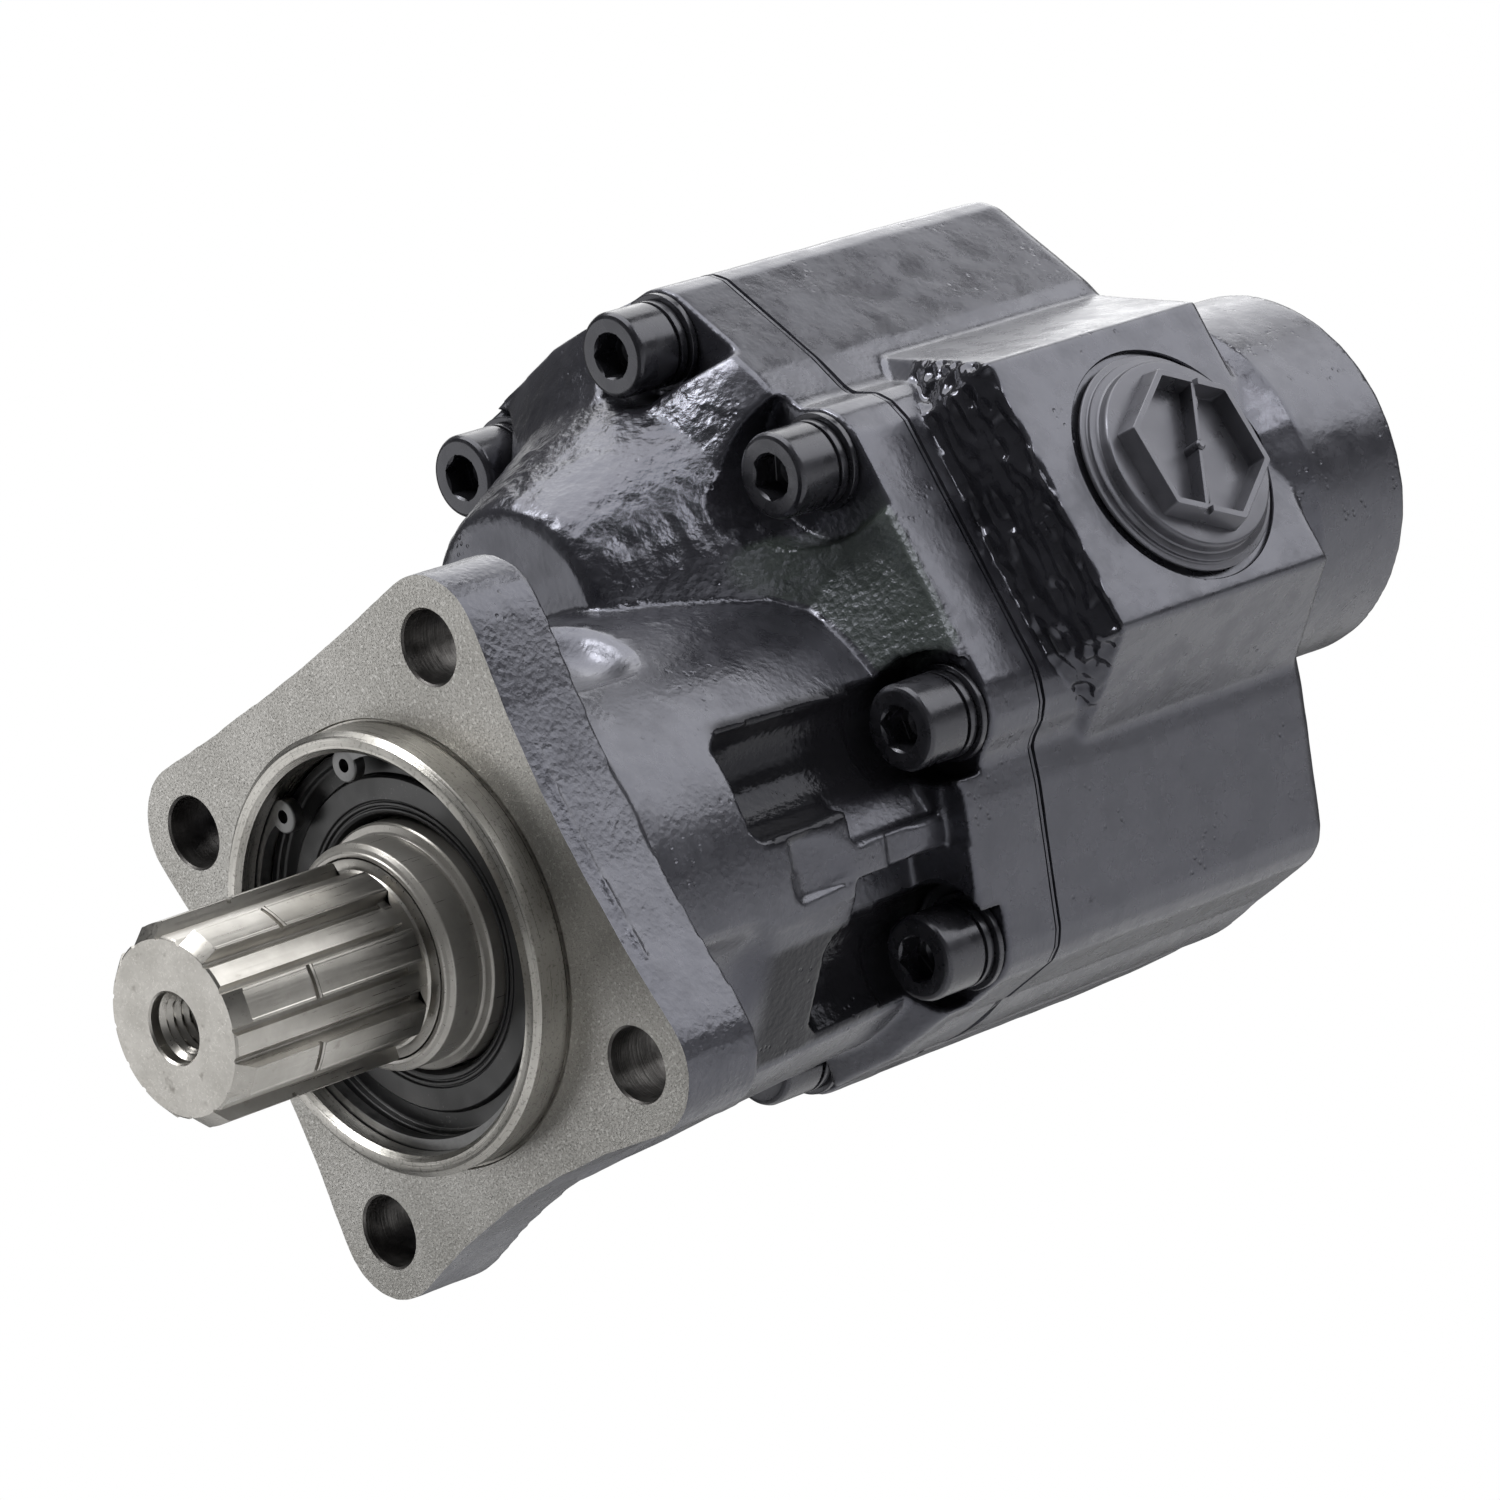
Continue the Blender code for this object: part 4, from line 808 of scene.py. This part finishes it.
def plug_master():
    """A moulded plug about the Y axis: flange at y = 0, hexagon rim towards -Y."""
    profile = [(0, -0.0057), (0.0180, -0.0057), (0.0184, -0.0055), (0.0187, -0.0050), (0.01875, -0.0034),
               (0.0190, -0.0031), (0.0200, -0.0029), (0.0203, -0.0027), (0.0203, -0.0021), (0.0205, -0.0019),
               (0.0214, -0.0018), (0.0216, -0.0016), (0.0216, -0.0012), (0.0162, -0.0012), (0.0162, 0.0120),
               (0.0154, 0.0130), (0.0135, 0.0130), (0.0135, -0.0010), (0, -0.0010)]
    plug = lathe("plug_master", profile, segments=128)
    phase = math.radians(34.6)
    rim_flats, hollow_flats = (0.0290, 0.0287, 0.0281, 0.0275, 0.0272), (0.0244, 0.0246, 0.0249, 0.0253)
    outer = [round_corners(hexagon(flat, phase), 0.0005, 3) for flat in rim_flats]
    rim = loft("rim", list(zip(outer, (-0.0050, -0.0060, -0.0076, -0.0094, -0.0096))))
    hollow = [round_corners(hexagon(flat, phase), 0.0004, 3) for flat in hollow_flats]
    boolean(rim, loft("hollow", list(zip(hollow, (-0.0050, -0.0064, -0.0094, -0.0102)))))
    boolean(plug, rim, "UNION")
    recess = loft("recess", [(round_corners(hexagon(0.0243, phase), 0.0004, 3), -0.0054),
                             (round_corners(hexagon(0.0246, phase), 0.0004, 3), -0.0060)])
    boolean(plug, recess)
    rib_turn = Matrix.Rotation(math.radians(-63), 4, "Y")
    notch = turn(box("notch", (-0.0175, -0.0102, -0.0007), (-0.0118, -0.0083, 0.0007)), rib_turn)
    other = turn(box("notch", (0.0118, -0.0102, -0.0007), (0.0175, -0.0083, 0.0007)), rib_turn)
    boolean(plug, notch)
    boolean(plug, other)
    knot = [(0, -0.0095), (0.0006, -0.0095), (0.0010, -0.0091), (0.0011, -0.0050), (0, -0.0050)]
    pieces = [bevel_edges(box("rib", (-0.0129, -0.0089, -0.00045), (0.0129, -0.0050, 0.00045)), 0.00018),
              bevel_edges(box("tick", (-0.0111, -0.0080, -0.0016), (-0.0083, -0.0050, -0.0010)), 0.0002),
              bevel_edges(box("tick", (0.0083, -0.0080, -0.0016), (0.0109, -0.0050, -0.0010)), 0.0002),
              lathe("knot", knot, segments=24)]
    for piece in pieces:
        boolean(plug, turn(piece, rib_turn), "UNION")
    return soft(plug, 32)


def build_port_fittings(plastic, rubber):
    master = plug_master()
    section = [(0.0168, -0.0012), (0.0206, -0.0012), (0.0206, -0.0002), (0.0168, -0.0002)]
    ring = lathe("ring", section, bevel=0.0003)
    soft(ring, 50)
    for place in ("side", "rear"):
        for side, word in ((-1, "left"), (1, "right")):
            if place == "side":
                seat, angle = (side * (BLOCK_X - 0.001), PORT_Y, PORT_Z), math.radians(90 * side)
            else:
                seat, angle = (side * REAR_X, REAR_END - 0.001, PORT_Z), math.pi
            matrix = Matrix.Translation(seat) @ Matrix.Rotation(angle, 4, "Z")
            for source, kind, slot_name, material in ((master, "plug", "plug_plastic", plastic),
                                                      (ring, "seal", "seal_rubber", rubber)):
                piece = new_object(f"{place}_port_{kind}_{word}_moulded", source.data.copy())
                piece.data.transform(matrix)
                finish_piece(piece, "housing", slot_name, [f"{place}_port_{kind}_{word}"], material)
    bpy.data.objects.remove(master, do_unlink=True)
    bpy.data.objects.remove(ring, do_unlink=True)


# ---------------------------------------------------------------- materials

class Graph:
    """Short calls for building one node material."""

    def __init__(self, name):
        self.material = bpy.data.materials.new(name)
        self.material.use_nodes = True
        self.tree = self.material.node_tree
        self.shader = self.tree.nodes["Principled BSDF"]
        self.place = self.node("ShaderNodeTexCoord").outputs["Object"]

    def node(self, kind, **settings):
        made = self.tree.nodes.new(kind)
        for key, value in settings.items():
            setattr(made, key, value)
        return made

    def feed(self, socket, value):
        if isinstance(value, bpy.types.NodeSocket):
            self.tree.links.new(value, socket)
        else:
            socket.default_value = value

    def stretch(self, scale):
        made = self.node("ShaderNodeVectorMath", operation="MULTIPLY")
        self.feed(made.inputs[0], self.place)
        self.feed(made.inputs[1], scale)
        return made.outputs[0]

    def noise(self, scale, detail=2.0, rough=0.5, vector=None):
        made = self.node("ShaderNodeTexNoise")
        self.feed(made.inputs["Vector"], vector or self.place)
        self.feed(made.inputs["Scale"], scale)
        self.feed(made.inputs["Detail"], detail)
        self.feed(made.inputs["Roughness"], rough)
        return made.outputs["Fac"]

    def voronoi(self, scale):
        made = self.node("ShaderNodeTexVoronoi")
        self.feed(made.inputs["Vector"], self.place)
        self.feed(made.inputs["Scale"], scale)
        return made.outputs["Distance"]

    def span(self, value, low, high, to_low=0.0, to_high=1.0):
        made = self.node("ShaderNodeMapRange", interpolation_type="SMOOTHSTEP")
        for socket, entry in zip(made.inputs, (value, low, high, to_low, to_high)):
            self.feed(socket, entry)
        return made.outputs[0]

    def sum(self, a, b, operation="ADD"):
        made = self.node("ShaderNodeMath", operation=operation)
        self.feed(made.inputs[0], a)
        self.feed(made.inputs[1], b)
        return made.outputs[0]

    def times(self, a, b):
        return self.sum(a, b, "MULTIPLY")

    def mix(self, factor, a, b):
        made = self.node("ShaderNodeMix", data_type="RGBA")
        self.feed(made.inputs[0], factor)
        for socket, value in ((made.inputs[6], a), (made.inputs[7], b)):
            self.feed(socket, value if isinstance(value, bpy.types.NodeSocket) else (*value, 1.0))
        return made.outputs[2]

    def attribute(self, name):
        return self.node("ShaderNodeAttribute", attribute_name=name).outputs["Fac"]

    def edges(self, low, high):
        return self.span(self.node("ShaderNodeNewGeometry").outputs["Pointiness"], low, high)

    def bump(self, height, distance, strength=1.0, normal=None):
        made = self.node("ShaderNodeBump")
        self.feed(made.inputs["Height"], height)
        self.feed(made.inputs["Distance"], distance)
        self.feed(made.inputs["Strength"], strength)
        if normal is not None:
            self.feed(made.inputs["Normal"], normal)
        return made.outputs[0]

    def done(self, **sockets):
        for key, value in sockets.items():
            socket = self.shader.inputs[key.replace("_", " ")]
            if not isinstance(value, (float, int, bpy.types.NodeSocket)) and len(value) == 3:
                value = (*value, 1.0)
            self.feed(socket, value)
        return self.material


PAINT = (0.012, 0.012, 0.015)


def black_paint(name, cast=True):
    """Thick glossy black enamel: orange peel, pin holes and, on the cast skin, the sand's grain below it."""
    g = Graph(name)
    coarse = g.attribute("coarse") if cast else 0.1
    wet = g.attribute("wet") if cast else 0.0
    painted_shade = g.attribute("painted_shade") if cast else 0.0
    peel = g.bump(g.noise(520, 2.0, 0.55), 0.00012, 0.35)
    grain_height = g.sum(g.noise(1050, 3.0, 0.6), g.times(g.voronoi(760), 0.7))
    grain = g.bump(grain_height, 0.00026, g.span(coarse, 0.0, 1.0, 0.05, 1.0), peel)
    pit_mask = g.span(g.noise(75, 2.0), 0.58, 0.68)
    pits = g.times(g.span(g.voronoi(620), 0.10, 0.34, 1.0, 0.0), pit_mask)
    normal = g.bump(g.sum(1.0, pits, "SUBTRACT"), 0.00016, 0.6, grain)
    edge_wear_and_highlight = g.edges(0.53, 0.60) if cast else 0.0
    patches = g.noise(60, 3.0, 0.6)
    colour = g.mix(g.span(patches, 0.35, 0.7), PAINT, (0.018, 0.018, 0.022))
    # Rough cast areas turn a lighter green-grey: partly the sand grain's own tone, partly a painted sheen for
    # the light the grain catches.
    colour = g.mix(g.times(g.span(coarse, 0.6, 1.0), 0.85), colour, (0.044, 0.054, 0.047))
    # Painted shade: the paint turns near black in the screw pockets and on the block's front wall, where
    # shade falls.
    colour = g.mix(g.times(painted_shade, 0.8), colour, (0.006, 0.006, 0.007))
    # Sharp cast edges turn lighter: partly paint worn thin there, partly a painted highlight along the edges.
    if cast:
        colour = g.mix(g.times(edge_wear_and_highlight, 0.25), colour, (0.10, 0.10, 0.105))
    roughness = g.span(wet, 0.0, 1.0, g.span(g.noise(140, 3.0, 0.6), 0.3, 0.75, 0.20, 0.36), 0.11)
    roughness = g.sum(roughness, g.times(coarse, 0.10))
    # Under the painted shade the specular level drops too, so those places reflect little light.
    return g.done(Base_Color=colour, Roughness=roughness, Normal=normal,
                  Specular_IOR_Level=g.span(painted_shade, 0.0, 1.0, 0.95, 0.18), Specular_Tint=(0.85, 0.865, 1.0))


def machined_iron():
    """Bare milled cast iron: warm grey, with graphite flecks and bright specks."""
    g = Graph("machined_iron")
    fine = g.noise(2600, 3.0, 0.65)
    grain = g.noise(1250, 2.0, 0.6)
    flecks = g.span(g.voronoi(1700), 0.10, 0.32, 1.0, 0.0)
    blotch = g.noise(45, 3.0, 0.6)
    colour = g.mix(g.span(blotch, 0.3, 0.75), (0.33, 0.322, 0.302), (0.42, 0.41, 0.39))
    colour = g.mix(g.span(grain, 0.50, 0.72), colour, (0.52, 0.51, 0.49))
    colour = g.mix(g.times(g.span(g.noise(2600, 1.0), 0.58, 0.68), 0.40), colour, (0.13, 0.127, 0.118))
    roughness = g.span(fine, 0.3, 0.75, 0.34, 0.58)
    normal = g.bump(fine, 0.00005, 0.55)
    normal = g.bump(g.sum(grain, g.times(flecks, 0.5)), 0.00010, 0.65, normal)
    return g.done(Base_Color=colour, Metallic=1.0, Roughness=roughness, Normal=normal)


def bored_hole():
    """Drilled walls with paint mist and cutting marks."""
    g = Graph("drilled_wall")
    marks = g.noise(1.0, 3.0, 0.6, g.stretch((160, 2600, 160)))
    colour = g.mix(g.span(g.noise(220, 3.0), 0.35, 0.7), (0.055, 0.052, 0.05), (0.13, 0.125, 0.12))
    normal = g.bump(marks, 0.00012, 0.6)
    return g.done(Base_Color=colour, Metallic=0.9, Normal=normal,
                  Roughness=g.span(marks, 0.3, 0.7, 0.34, 0.5))


def radial_rings(g, scale):
    """Noise that runs in rings about the drive shaft's axis, as a lathe tool leaves it."""
    split = g.node("ShaderNodeSeparateXYZ")
    g.feed(split.inputs[0], g.place)
    squares = [g.times(split.outputs[k], split.outputs[k]) for k in (0, 2)]
    radius = g.sum(g.sum(*squares), 0.5, "POWER")
    joined = g.node("ShaderNodeCombineXYZ")
    g.feed(joined.inputs[0], g.times(radius, scale))
    g.feed(joined.inputs[1], g.times(split.outputs[1], scale))
    g.feed(joined.inputs[2], g.times(split.outputs[0], scale * 0.35 * 0.05))
    return g.noise(1.0, 2.0, 0.6, joined.outputs[0])


def turned_iron():
    g = Graph("turned_iron")
    rings = radial_rings(g, 4200)
    grain = g.noise(1500, 2.0, 0.6)
    colour = g.mix(g.span(g.noise(60, 3.0), 0.35, 0.7), (0.31, 0.30, 0.278), (0.45, 0.437, 0.41))
    colour = g.mix(g.times(g.span(grain, 0.56, 0.66), 0.5), colour, (0.12, 0.118, 0.11))
    normal = g.bump(rings, 0.00006, 0.5)
    normal = g.bump(grain, 0.00005, 0.4, normal)
    return g.done(Base_Color=colour, Metallic=1.0, Normal=normal,
                  Roughness=g.span(rings, 0.3, 0.7, 0.26, 0.42))


def ground_steel(name="ground_steel_satin", metallic=1.0, light=1.0):
    """Hardened shaft steel: satin flanks with fine marks along them and a little handling dirt."""
    g = Graph(name)
    along = g.noise(1.0, 3.0, 0.6, g.stretch((2200, 50, 2200)))
    blotch = g.noise(95, 4.0, 0.65)
    bright = tuple(light * value for value in (0.43, 0.415, 0.39))
    deep = tuple(light * value for value in (0.33, 0.318, 0.295))
    colour = g.mix(g.span(blotch, 0.3, 0.75), deep, bright)
    dirt = g.times(g.span(g.noise(330, 3.0, 0.65), 0.60, 0.74), 0.35)
    colour = g.mix(dirt, colour, (0.20, 0.185, 0.16))
    roughness = g.sum(g.span(along, 0.3, 0.75, 0.27, 0.38), g.times(dirt, 0.35))
    normal = g.bump(along, 0.00002, 0.25)
    return g.done(Base_Color=colour, Metallic=metallic, Roughness=roughness, Normal=normal)


def seal_rubber():
    g = Graph("seal_rubber_oiled")
    film = g.noise(70, 4.0, 0.6)
    dust = g.times(g.span(g.noise(1500, 2.0), 0.60, 0.72), g.span(g.noise(110, 2.0), 0.5, 0.65))
    colour = g.mix(g.span(film, 0.35, 0.7), (0.010, 0.010, 0.011), (0.017, 0.017, 0.018))
    colour = g.mix(dust, colour, (0.09, 0.088, 0.085))
    normal = g.bump(g.noise(1300, 2.0), 0.00003, 0.35)
    return g.done(Base_Color=colour, Roughness=g.span(film, 0.3, 0.7, 0.28, 0.46), Normal=normal,
                  Specular_IOR_Level=0.5)


def spring_steel():
    g = Graph("phosphated_spring_steel")
    blotch = g.noise(260, 3.0, 0.6)
    colour = g.mix(g.span(blotch, 0.35, 0.7), (0.13, 0.13, 0.13), (0.20, 0.20, 0.20))
    normal = g.bump(g.noise(1900, 2.0), 0.00004, 0.4)
    return g.done(Base_Color=colour, Metallic=1.0, Normal=normal,
                  Roughness=g.span(blotch, 0.3, 0.7, 0.30, 0.44))


def screw_paint(name):
    """The same black enamel, thinner, on oiled steel."""
    g = Graph(name)
    blotch = g.noise(240, 3.0, 0.6)
    colour = g.mix(g.span(blotch, 0.35, 0.7), (0.010, 0.010, 0.012), (0.016, 0.016, 0.019))
    normal = g.bump(g.noise(700, 2.0), 0.00008, 0.3)
    normal = g.bump(g.noise(2300, 1.0), 0.00002, 0.3, normal)
    return g.done(Base_Color=colour, Roughness=g.span(blotch, 0.3, 0.7, 0.20, 0.34), Normal=normal,
                  Specular_IOR_Level=0.52, Specular_Tint=(0.88, 0.89, 1.0),
                  Coat_Weight=0.1, Coat_Roughness=0.08)


def plug_plastic():
    """Moulded polyethylene painted over with the body."""
    g = Graph("plug_plastic_moulded")
    flow = g.noise(180, 3.0, 0.6)
    colour = g.mix(g.span(flow, 0.35, 0.7), (0.034, 0.034, 0.039), (0.046, 0.046, 0.053))
    normal = g.bump(flow, 0.00014, 0.25)
    normal = g.bump(g.noise(1400, 2.0), 0.00003, 0.3, normal)
    return g.done(Base_Color=colour, Roughness=g.span(flow, 0.3, 0.7, 0.26, 0.38), Normal=normal,
                  Specular_IOR_Level=0.85, Specular_Tint=(0.87, 0.88, 1.0))


def bearing_bronze():
    g = Graph("bearing_bronze_bored")
    rings = radial_rings(g, 3000)
    colour = g.mix(g.span(g.noise(90, 3.0), 0.35, 0.7), (0.50, 0.32, 0.13), (0.60, 0.40, 0.19))
    normal = g.bump(rings, 0.00005, 0.5)
    return g.done(Base_Color=colour, Metallic=1.0, Normal=normal,
                  Roughness=g.span(rings, 0.3, 0.7, 0.24, 0.40))


# ---------------------------------------------------------------- studio

LIT_POINT = (0.0, 0.08, 0.02)
FLOOR_DROP = 0.40


def look_from(item, rows, place):
    right, down, forward = (Vector(row) for row in rows)
    matrix = Matrix((right, -down, -forward)).transposed().to_4x4()
    matrix.translation = place
    item.matrix_world = matrix


def add_camera():
    data = bpy.data.cameras.new("camera")
    camera = bpy.data.objects.new("camera", data)
    bpy.context.scene.collection.objects.link(camera)
    look_from(camera, ((0.5601487, 0.69815257, -0.44588835), (-0.40399671, -0.23967986, -0.88280248),
                       (-0.72320128, 0.67463809, 0.14779498)), (0.89470, -0.74117, -0.16971))
    data.sensor_width = 36.0
    data.lens = 161.796
    data.clip_start = 0.01
    data.clip_end = 20.0
    bpy.context.scene.camera = camera


def add_panel(name, direction, distance, width, height, radiance):
    """A soft box facing the object from the given direction, with the given brightness per unit area."""
    data = bpy.data.lights.new(name, "AREA")
    data.shape = "RECTANGLE"
    data.size = width
    data.size_y = height
    data.energy = radiance * math.pi * width * height
    light = bpy.data.objects.new(name, data)
    bpy.context.scene.collection.objects.link(light)
    direction = Vector(direction).normalized()
    light.location = Vector(LIT_POINT) + direction * distance
    light.rotation_euler = direction.to_track_quat("Z", "Y").to_euler()


def add_studio():
    world = bpy.data.worlds.new("studio")
    bpy.context.scene.world = world
    world.use_nodes = True
    tree = world.node_tree
    for node in list(tree.nodes):
        tree.nodes.remove(node)
    seen = tree.nodes.new("ShaderNodeBackground")
    seen.inputs["Color"].default_value = (1.0, 1.0, 1.0, 1.0)
    seen.inputs["Strength"].default_value = 1.0
    ambient = tree.nodes.new("ShaderNodeBackground")
    ambient.inputs["Color"].default_value = (1.0, 1.0, 1.0, 1.0)
    ambient.inputs["Strength"].default_value = 0.11
    path = tree.nodes.new("ShaderNodeLightPath")
    mixed = tree.nodes.new("ShaderNodeMixShader")
    output = tree.nodes.new("ShaderNodeOutputWorld")
    tree.links.new(path.outputs["Is Camera Ray"], mixed.inputs[0])
    tree.links.new(ambient.outputs[0], mixed.inputs[1])
    tree.links.new(seen.outputs[0], mixed.inputs[2])
    tree.links.new(mixed.outputs[0], output.inputs[0])
    add_panel("right_up", (0.70, 0.60, 0.36), 1.1, 1.15, 0.85, 2.8)
    add_panel("top", (0.26, -0.02, 0.96), 1.1, 1.1, 1.25, 3.7)
    add_panel("back_top", (-0.16, 0.68, 0.72), 1.2, 0.9, 0.8, 2.3)
    add_panel("spark", (0.10, -0.48, 0.87), 1.1, 0.30, 0.30, 18.0)
    add_panel("spark_right", (0.93, 0.10, 0.36), 1.1, 0.16, 0.40, 8.0)
    add_panel("back", (-0.60, 0.72, 0.36), 1.4, 1.0, 0.8, 0.9)
    add_panel("left", (-0.76, -0.62, 0.30), 0.70, 0.48, 0.46, 1.50)
    add_panel("low_right", (0.45, 0.66, -0.60), 1.3, 1.0, 1.0, 0.24)
    view = bpy.context.scene.view_settings
    view.view_transform = "Standard"
    view.look = "None"
    view.exposure = 0.0
    view.gamma = 1.0


def add_floor():
    """A pale paper floor, well below the object, that shows bright but throws little light back."""
    bm = bmesh.new()
    bmesh.ops.create_grid(bm, x_segments=8, y_segments=8, size=12.0)
    floor = from_bmesh("floor", bm)
    floor.location = (0.0, 0.08, CAD_BOUNDS[0][2] - FLOOR_DROP)
    g = Graph("floor_paper")
    tone = g.mix(g.noise(4, 2.0), (0.80, 0.80, 0.80), (0.83, 0.83, 0.83))
    seen = g.times(g.node("ShaderNodeLightPath").outputs["Is Camera Ray"], 0.72)
    floor.data.materials.append(g.done(Base_Color=tone, Roughness=0.8, Emission_Color=tone,
                                       Emission_Strength=seen))


# ---------------------------------------------------------------- putting it together

def recoat(nodes, material):
    for name in nodes:
        for slot in NODES[name].material_slots:
            slot.material = material


paint, paint_edge = black_paint("black_enamel"), black_paint("black_enamel_on_machined", cast=False)
iron, turned, ground = machined_iron(), turned_iron(), ground_steel()
rubber, plastic, bronze = seal_rubber(), plug_plastic(), bearing_bronze()

add_camera()
add_studio()
add_floor()

cover = build_front_cover(paint, paint_edge, iron, turned, bored_hole())
finish_piece(cover, "housing", "black_paint", ["front_cover"])
finish_piece(build_housing(paint, paint_edge, turned), "housing", "black_paint", ["rear_housing"])
build_drive_shaft(ground)
build_driven_shaft(ground)
build_sleeve(ground_steel("collar_steel_matt", 0.55, 0.9))
build_seals(rubber)
build_retaining_ring(spring_steel())
build_screws(screw_paint("screw_enamel"), screw_paint("washer_enamel"))
build_port_fittings(plastic, rubber)
recoat(["front_drive_bush", "front_driven_bush", "rear_drive_bush", "rear_driven_bush",
        "front_pressure_plate", "rear_pressure_plate"], bronze)
recoat(["body_o_ring"], rubber)
recoat(["dowel_pin_left", "dowel_pin_right"], ground)
